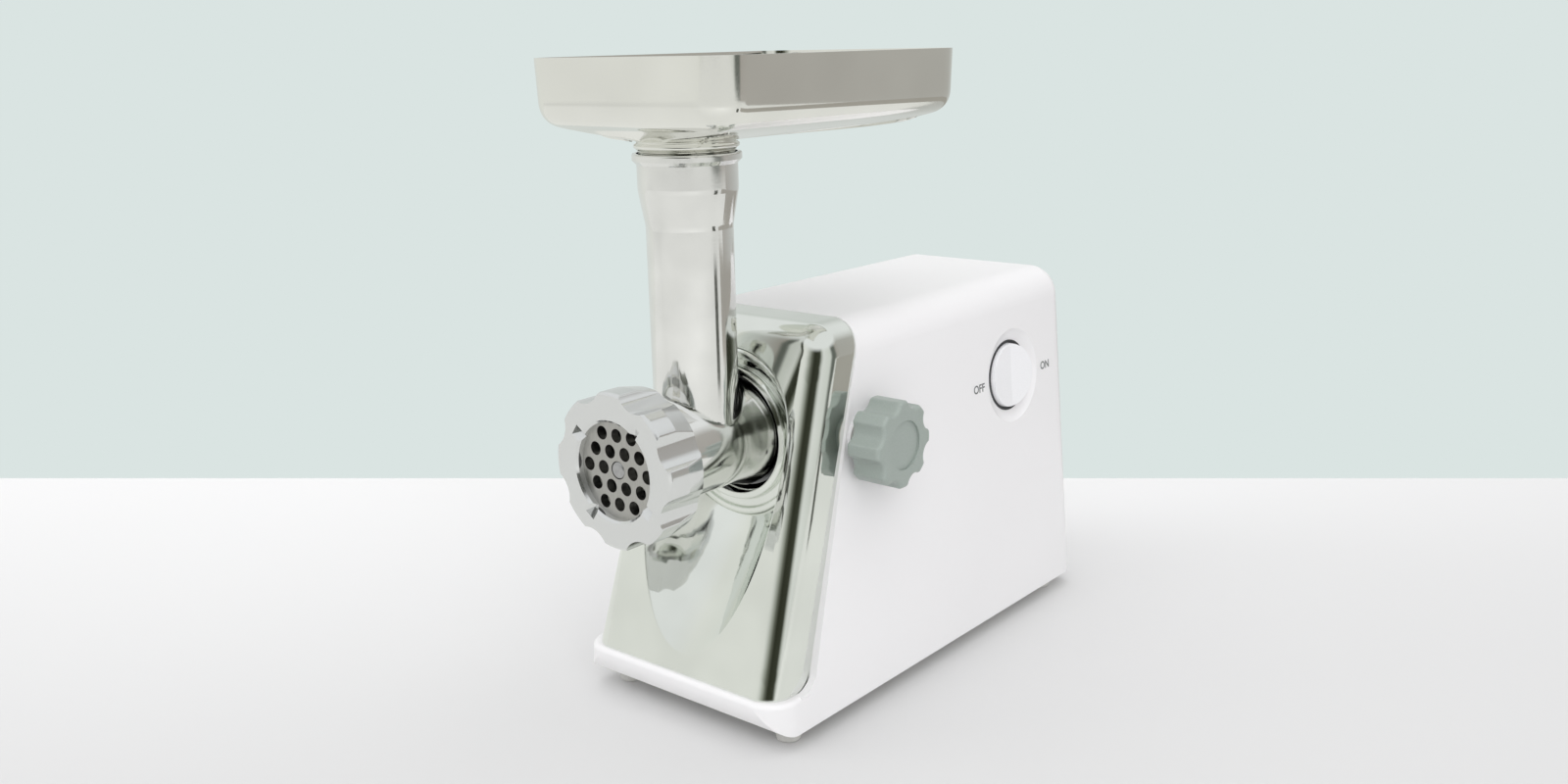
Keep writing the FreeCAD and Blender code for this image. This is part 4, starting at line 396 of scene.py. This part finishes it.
finish_with(satin_moulded_abs("satin_white_abs", "#DFDEDB", "#E6E5E2", 0.38), "base_plate")
finish_with(satin_moulded_abs("polished_white_abs", "#F2F2F4", "#F6F6F8", 0.14), "switch_rocker")
finish_with(satin_moulded_abs("pale_moulded_foot", "#C6C5C1", "#D0CFCB", 0.5), "feet")
finish_with(satin_moulded_abs("grey_moulded_knob", "#98A29C", "#A0A9A3", 0.28), "knob_grip")
finish_with(satin_moulded_abs("natural_nylon", "#D6D2C4", "#E0DCCF", 0.35),
            "knob_washer", "screw_drive_end", "first_gear")
finish_with(satin_moulded_abs("black_moulded_nylon", "#26272A", "#303134", 0.42),
            "switch_body", "gearbox_front", "gearbox_rear", "cooling_fan")
finish_with(satin_moulded_abs("black_rubber", "#17181A", "#222325", 0.62), "cord_gland", "motor_pads")


# %% [markdown]
# ## Bright metals
#
# The front panel and its stepped ring are ABS plated with decorative chrome, a mirror with a
# faint greenish grey. The head is cast aluminium, ground and then polished by hand, so its
# mirror is softened by fine buffing lines and slow ripples. The tray is pressed from sheet
# aluminium and buffed. Metals keep the shader's default IOR.

# %% Chrome plate
def decorative_chrome():
    """A clear mirror whose edges read as rounded and whose flats ripple over about 30 mm."""
    material, tree, shader = new_material("decorative_chrome", Metallic=1.0)
    place = place_in_mm(tree)
    ripple = add_node(tree, "ShaderNodeTexNoise", [(place, 0, "Vector")], {"Scale": 0.035, "Detail": 1.0})
    vary_colour(tree, shader, ripple, "Fac", "#E2E5E0", "#E9ECE7")
    vary_roughness(tree, shader, ripple, "Fac", 0.03, 0.06)
    soft_edge = add_node(tree, "ShaderNodeBevel", inputs={"Radius": 1.6 * MM}, samples=6)
    bump = add_node(tree, "ShaderNodeBump", [(ripple, "Fac", "Height"), (soft_edge, 0, "Normal")],
                    {"Strength": 0.35, "Distance": 0.3 * MM})
    tree.links.new(bump.outputs["Normal"], shader.inputs["Normal"])
    return material


chrome = decorative_chrome()
finish_with(chrome, "front_panel", "socket_ring")

# %% Polished and pressed aluminium
def buffed_aluminium(name, low, high, roughness, ripple_mm, ripple_height, line_stretch):
    """Slow ripples from hand polishing, and fine lines along the way the buff ran."""
    material, tree, shader = new_material(name, Metallic=1.0)
    ripple = add_node(tree, "ShaderNodeTexNoise", [(place_in_mm(tree), 0, "Vector")],
                      {"Scale": 1.0 / ripple_mm, "Detail": 1.5})
    lines = add_node(tree, "ShaderNodeTexNoise", [(place_in_mm(tree, line_stretch), 0, "Vector")],
                     {"Scale": 1.0, "Detail": 2.0})
    vary_colour(tree, shader, ripple, "Fac", low, high)
    vary_roughness(tree, shader, lines, "Fac", roughness, roughness + 0.04)
    fine = add_node(tree, "ShaderNodeBump", [(lines, "Fac", "Height")],
                    {"Strength": 0.1, "Distance": 0.01 * MM})
    slow = add_node(tree, "ShaderNodeBump", [(ripple, "Fac", "Height"), (fine, "Normal", "Normal")],
                    {"Strength": 0.5, "Distance": ripple_height * MM})
    tree.links.new(slow.outputs["Normal"], shader.inputs["Normal"])
    return material


polished_head = buffed_aluminium("polished_cast_aluminium", "#E4E4E2", "#EDEDEB", 0.08, 18.0, 0.07,
                                 (1.2, 0.1, 1.2))
finish_with(polished_head, "head_casting")
pressed_tray = buffed_aluminium("buffed_sheet_aluminium", "#E6E6E1", "#EDEDE8", 0.06, 45.0, 0.06,
                                (0.1, 1.0, 1.0))


def rough_casting(name, low, high):
    """Cast against steel and left as it came: grey, with pores about a millimetre across."""
    material, tree, shader = new_material(name, Metallic=1.0)
    pores = add_node(tree, "ShaderNodeTexNoise", [(place_in_mm(tree), 0, "Vector")],
                     {"Scale": 0.8, "Detail": 5.0})
    vary_colour(tree, shader, pores, "Fac", low, high)
    vary_roughness(tree, shader, pores, "Fac", 0.38, 0.55)
    raise_surface(tree, shader, pores, "Fac", 0.12, 0.7)
    return material


finish_with(rough_casting("die_cast_aluminium", "#8F9092", "#A6A7A8"),
            "head_socket", "motor_front_bracket", "motor_rear_bracket")
finish_with(rough_casting("cast_screw_aluminium", "#6C6C6A", "#80807D"), "feed_screw")


# %% [markdown]
# ## Steels, brass, copper and carbon
#
# Ground steel carries straight parallel lines from the grinding wheel. Turned parts carry
# rings. Zinc plating is slightly blue and cloudy, sintered bronze is speckled by its own
# pores, and varnished windings show as rows of round wire about a millimetre apart.

# %% Ground, turned and plated steels
def ground_steel(name, low, high, roughness, stretch, height_mm=0.03):
    """Fine lines left by the wheel or the lathe tool, stretched along the way it ran."""
    material, tree, shader = new_material(name, Metallic=1.0)
    lines = add_node(tree, "ShaderNodeTexNoise", [(place_in_mm(tree, stretch), 0, "Vector")],
                     {"Scale": 1.0, "Detail": 3.0})
    vary_colour(tree, shader, lines, "Fac", low, high)
    vary_roughness(tree, shader, lines, "Fac", roughness, roughness + 0.12)
    raise_surface(tree, shader, lines, "Fac", height_mm, 0.6)
    return material


finish_with(ground_steel("ground_plate_steel", "#A9A8A4", "#BDBCB8", 0.3, (2.5, 1.0, 0.15)), "cutting_plate")
finish_with(ground_steel("ground_blade_steel", "#6E6E6D", "#828280", 0.34, (0.2, 1.0, 2.5)), "knife")
finish_with(ground_steel("turned_steel", "#A8A8A9", "#BABABB", 0.28, (0.4, 3.0, 0.4), 0.004),
            "screw_front_pin", "plate_pin", "knob_stud", "rocker_pin", "first_axle", "second_axle",
            "motor_shaft", "motor_pinion", "second_gear", "output_gear", "drive_shaft",
            "front_bearing", "rear_bearing")
finish_with(ground_steel("stacked_lamination_steel", "#6A6B6E", "#808184", 0.45, (0.05, 2.0, 0.05)),
            "stator_stack", "armature_core")


def zinc_plate():
    """Bright zinc, slightly blue, with cloudy patches about 2 mm across."""
    material, tree, shader = new_material("clear_zinc_plate", Metallic=1.0)
    clouds = add_node(tree, "ShaderNodeTexNoise", [(place_in_mm(tree), 0, "Vector")],
                      {"Scale": 0.6, "Detail": 3.0})
    vary_colour(tree, shader, clouds, "Fac", "#A9AEB2", "#C3C7C9")
    vary_roughness(tree, shader, clouds, "Fac", 0.28, 0.42)
    return material


finish_with(zinc_plate(), "base_screws", "foot_screws", "panel_screws", "socket_screws",
            "gearbox_screws", "motor_bolts")

# %% Yellow metals, windings and carbon
def turned_brass():
    """Brass off the lathe: warm, with faint rings close together."""
    material, tree, shader = new_material("turned_brass", Metallic=1.0)
    rings = add_node(tree, "ShaderNodeTexNoise", [(place_in_mm(tree, (3.0, 0.3, 0.3)), 0, "Vector")],
                     {"Scale": 1.0, "Detail": 2.0})
    vary_colour(tree, shader, rings, "Fac", "#B5924A", "#CBA85C")
    vary_roughness(tree, shader, rings, "Fac", 0.22, 0.34)
    return material


finish_with(turned_brass(), "knob_bush", "brush_holders", "switch_terminals")


def sintered_bronze():
    """Pressed bronze powder, dark in the pores that hold its oil."""
    material, tree, shader = new_material("sintered_bronze", Metallic=1.0)
    pores = add_node(tree, "ShaderNodeTexVoronoi", [(place_in_mm(tree), 0, "Vector")], {"Scale": 2.0})
    vary_colour(tree, shader, pores, "Distance", "#6E5636", "#94764A", 0.1, 0.5)
    vary_roughness(tree, shader, pores, "Distance", 0.5, 0.36, 0.1, 0.5)
    raise_surface(tree, shader, pores, "Distance", 0.08, 0.6)
    return material


finish_with(sintered_bronze(), "front_output_bush", "rear_output_bush", "screw_bush")


def wound_copper(name, low, high, direction):
    """Rows of varnished wire about a millimetre apart."""
    material, tree, shader = new_material(name, Metallic=0.6, Coat_Weight=0.6, Coat_Roughness=0.12)
    rows = add_node(tree, "ShaderNodeTexWave", [(place_in_mm(tree), 0, "Vector")],
                    {"Scale": 0.32, "Distortion": 0.6, "Detail": 1.0}, bands_direction=direction)
    vary_colour(tree, shader, rows, "Fac", low, high, 0.1, 0.9)
    vary_roughness(tree, shader, rows, "Fac", 0.42, 0.28)
    raise_surface(tree, shader, rows, "Fac", 0.3, 0.8)
    return material


finish_with(wound_copper("varnished_copper_wire", "#6E3A1E", "#B0693A", "Z"),
            "field_coils", "armature_windings")
finish_with(wound_copper("commutator_copper", "#8C5632", "#C07E50", "X"), "commutator")


def pressed_carbon():
    """Soft black carbon with an even, dull grain."""
    material, tree, shader = new_material("pressed_carbon")
    grain = add_node(tree, "ShaderNodeTexNoise", [(place_in_mm(tree), 0, "Vector")],
                     {"Scale": 2.5, "Detail": 4.0})
    vary_colour(tree, shader, grain, "Fac", "#141415", "#242426")
    vary_roughness(tree, shader, grain, "Fac", 0.5, 0.65)
    return material


finish_with(pressed_carbon(), "carbon_brushes")


# %% [markdown]
# ## The tray
#
# The real tray is one sheet of aluminium, drawn into a shallow funnel with upright sides and
# spun out again into a neck that drops into the feed tube. It could be lofted, but drawn
# sheet bends in smooth sweeps with no ridges, so it is modelled as a shell: a rounded
# rectangle inset step by step round its lower edge, bridged to the neck's circle with curved
# rows between, subdivided, and only then given the sheet's thickness.

# %% Model the tray
TRAY_LOW, TRAY_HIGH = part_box("hopper_tray")
THROAT_Z = 305.0 * MM
SIDE_CUTS = 12
CORNER_CUTS = 15
CORNERS = 4 * (CORNER_CUTS + 1 + SIDE_CUTS)    # points round the rim, and round the throat to match
FUNNEL_CUTS = 7
FUNNEL_CURVE = 0.35       # how strongly the funnel leaves both borders along their own slopes
BORDER_DEPTH = 0.5 * MM   # how close to a border's height its edges are looked for
CORNER_RADIUS = 16 * MM
LONG_SIDE = 50 * MM       # edges longer than this are the straight sides
RIM_DROP = 0.5 * MM       # what the sheet's thickness adds above the rim
THROAT_RADIUS = 25.0 * MM
SHEET = 1.2 * MM
ARC_RADIUS, ARC_TURNS, ARC_END = 12.0, 6, 78    # the rounded lower edge, in mm and degrees
# how far inwards and down each step of the upright sides goes, in mm
SIDE_STEPS = [(0.04, 1.0), (0.4, 10.0), (0.4, 10.0), (0.04, 1.0)]
# radius and height of each ring of the neck, in mm: the bead, the step and the spigot
NECK_RINGS = [(24.6, 304.6), (24.9, 303.9), (26.3, 303.2), (26.4, 302.4), (26.2, 301.6),
              (24.9, 300.9), (24.4, 300.2), (24.4, 299.4), (22.9, 298.6), (22.9, 287.0)]


def active_mesh():
    """The mesh that is open in edit mode."""
    return bmesh.from_edit_mesh(bpy.context.edit_object.data)


def pick_open_edges(test):
    """In edit mode, select only the border edges whose middle passes the test."""
    mesh = active_mesh()
    for vertex in mesh.verts:
        vertex.select_set(False)
    for edge in mesh.edges:
        middle = (edge.verts[0].co + edge.verts[1].co) / 2
        if len(edge.link_faces) < 2 and test(middle):
            edge.select_set(True)
    mesh.select_flush_mode()
    bmesh.update_edit_mesh(bpy.context.edit_object.data)


def add_modifier(piece, kind, **settings):
    """Give a piece a modifier with these settings and apply it at once."""
    modifier = piece.modifiers.new(kind.lower(), kind)
    for name, value in settings.items():
        setattr(modifier, name, value)
    bpy.ops.object.modifier_apply(modifier=modifier.name)


def start_tray_rim():
    """A flat rounded rectangle at rim height, with as many points on its sides as the funnel needs."""
    deselect_everything()
    middle = ((TRAY_LOW[0] + TRAY_HIGH[0]) / 2, (TRAY_LOW[1] + TRAY_HIGH[1]) / 2, TRAY_HIGH[2] - RIM_DROP)
    bpy.ops.mesh.primitive_plane_add(size=1.0, location=middle)
    tray = bpy.context.object
    tray.scale = (TRAY_HIGH[0] - TRAY_LOW[0], TRAY_HIGH[1] - TRAY_LOW[1], 1.0)
    settle(tray, "drawn_tray")
    bpy.ops.object.mode_set(mode="EDIT")
    bpy.ops.mesh.select_all(action="SELECT")
    bpy.ops.mesh.bevel(offset=CORNER_RADIUS, segments=CORNER_CUTS, affect="VERTICES")
    bpy.ops.mesh.delete(type="ONLY_FACE")
    mesh = active_mesh()
    for edge in mesh.edges:
        edge.select_set(edge.calc_length() > LONG_SIDE)
    mesh.select_flush_mode()
    bpy.ops.mesh.subdivide(number_cuts=SIDE_CUTS)
    bpy.ops.mesh.select_all(action="SELECT")
    bpy.ops.mesh.edge_face_add()
    return tray


def draw_tray_sides():
    """Push the face down in rings: upright sides, the rounded lower edge, then the funnel's start."""
    steps = list(SIDE_STEPS)
    for index in range(ARC_TURNS):
        before = math.radians(ARC_END * index / ARC_TURNS)
        after = math.radians(ARC_END * (index + 1) / ARC_TURNS)
        inward = ARC_RADIUS * (math.cos(before) - math.cos(after))
        steps.append((inward, ARC_RADIUS * (math.sin(after) - math.sin(before))))
    for inward, down in steps:
        bpy.ops.mesh.inset(thickness=inward * MM, depth=0.0, use_even_offset=True)
        bpy.ops.transform.translate(value=(0, 0, -down * MM))


def add_tray_throat():
    """Take the last face away, set a ring of as many corners at the throat, and bridge the two."""
    low = min(vertex.co.z for vertex in active_mesh().verts)
    bpy.ops.mesh.delete(type="FACE")
    bpy.ops.mesh.select_all(action="DESELECT")
    bpy.ops.mesh.primitive_circle_add(vertices=CORNERS, radius=THROAT_RADIUS, fill_type="NOTHING",
                                      location=(0, FEED_Y, THROAT_Z), rotation=(0, 0, math.pi / CORNERS))
    pick_open_edges(lambda middle: middle.z < low + BORDER_DEPTH)
    bpy.ops.mesh.bridge_edge_loops(number_cuts=FUNNEL_CUTS, interpolation="SURFACE", smoothness=FUNNEL_CURVE)


def spin_out_neck():
    """Pull the throat's border down and out into the bead, and down again into the tube."""
    for radius, height in NECK_RINGS:
        mesh = active_mesh()
        ring = [vertex for vertex in mesh.verts if vertex.select]
        now_z = sum(vertex.co.z for vertex in ring) / len(ring)
        now = sum((vertex.co.xy - Vector((0, FEED_Y))).length for vertex in ring) / len(ring)
        bpy.ops.mesh.extrude_region_move(TRANSFORM_OT_translate={"value": (0, 0, height * MM - now_z)})
        grow = radius * MM / now
        bpy.ops.transform.resize(value=(grow, grow, 1.0), center_override=(0, FEED_Y, height * MM))


def build_tray():
    """The whole sheet as a surface with no thickness yet, from the rim down to the neck's end."""
    tray = start_tray_rim()
    draw_tray_sides()
    add_tray_throat()
    pick_open_edges(lambda middle: abs(middle.z - THROAT_Z) < BORDER_DEPTH)
    spin_out_neck()
    bpy.ops.mesh.select_all(action="SELECT")
    bpy.ops.mesh.remove_doubles(threshold=0.01 * MM)
    bpy.ops.object.mode_set(mode="OBJECT")
    return tray


tray = build_tray()
print("tray shell:", len(tray.data.vertices), "corners")

# %% Thicken and smooth the tray
def thicken_tray(tray):
    """Face the sheet outwards, smooth it, and give it its thickness."""
    bpy.ops.object.mode_set(mode="EDIT")
    bpy.ops.mesh.select_all(action="SELECT")
    bpy.ops.mesh.normals_make_consistent(inside=False)
    wall_face = max(active_mesh().faces, key=lambda face: face.calc_center_median().x)
    if wall_face.normal.x < 0:
        bpy.ops.mesh.flip_normals()
    bpy.ops.object.mode_set(mode="OBJECT")
    add_modifier(tray, "SUBSURF", levels=1, render_levels=1, boundary_smooth="PRESERVE_CORNERS")
    add_modifier(tray, "SOLIDIFY", thickness=SHEET, offset=-1.0)
    bpy.ops.object.shade_smooth_by_angle(angle=math.radians(40))
    tray.data.materials.append(pressed_tray)
    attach(tray, "hopper")
    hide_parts("hopper_tray")


thicken_tray(tray)
low = [min(v.co[i] for v in tray.data.vertices) * 1000 for i in range(3)]
high = [max(v.co[i] for v in tray.data.vertices) * 1000 for i in range(3)]
print("tray in mm:", [round(v, 1) for v in low], [round(v, 1) for v in high])


# %% [markdown]
# ## Switch lettering
#
# ON and OFF are pad printed in grey ink beside the rocker. Each word is made as text, turned
# into a mesh, and laid a hair's breadth above the sloping side wall.

# %% Letter the switch
# the side wall's half width and height at its foot and at its top, in mm
FOOT_HALF_WIDTH, FOOT_Z = 72.3, 9.4
TOP_HALF_WIDTH, TOP_Z = 59.0, 210.4
SIDE_SLOPE = math.atan((FOOT_HALF_WIDTH - TOP_HALF_WIDTH) / (TOP_Z - FOOT_Z))
LINE_Z = 149.0            # the height of the words' foot, in mm
LETTER_SIZE = 6.8 * MM
INK_THICKNESS = 0.02 * MM
STROKE_GROWTH = 0.12 * MM
INK_LIFT = 0.03           # how far the ink's middle stands off the wall, in mm


def side_wall_x(z_mm):
    """How far out the side wall stands at a height, both in mm."""
    return FOOT_HALF_WIDTH - math.tan(SIDE_SLOPE) * (z_mm - FOOT_Z)


def grey_print():
    """Pad printing ink: dull grey with tiny specks."""
    material, tree, shader = new_material("grey_printing_ink", IOR=1.5)
    specks = add_node(tree, "ShaderNodeTexNoise", [(place_in_mm(tree), 0, "Vector")],
                      {"Scale": 3.0, "Detail": 2.0})
    vary_colour(tree, shader, specks, "Fac", "#5C5F5F", "#6C6F6F")
    vary_roughness(tree, shader, specks, "Fac", 0.45, 0.55)
    return material


def print_word(word, name, start_y_mm, ink):
    """A printed word on the +x wall, reading towards +y."""
    deselect_everything()
    along = Vector((0, 1, 0))
    upward = Vector((-math.sin(SIDE_SLOPE), 0, math.cos(SIDE_SLOPE)))
    outward = along.cross(upward)
    place = Vector((side_wall_x(LINE_Z), start_y_mm, LINE_Z)) * MM + outward * INK_LIFT * MM
    bpy.ops.object.text_add(location=(0, 0, 0))
    text = bpy.context.object
    text.data.body = word
    text.data.size = LETTER_SIZE
    text.data.extrude = INK_THICKNESS
    text.data.offset = STROKE_GROWTH
    bpy.ops.object.convert(target="MESH")
    lettering = bpy.context.object
    turn = Matrix((along, upward, outward)).transposed().to_4x4()
    lettering.matrix_world = Matrix.Translation(place) @ turn
    settle(lettering, name)
    lettering.data.materials.clear()
    lettering.data.materials.append(ink)
    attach(lettering, "machine")
    return lettering


ink = grey_print()
for word, name, start_y_mm in (("OFF", "off_lettering", 31.5), ("ON", "on_lettering", 108.6)):
    lettering = print_word(word, name, start_y_mm, ink)
    print(word, "printed,", round(lettering.dimensions.y * 1000, 1), "mm long")
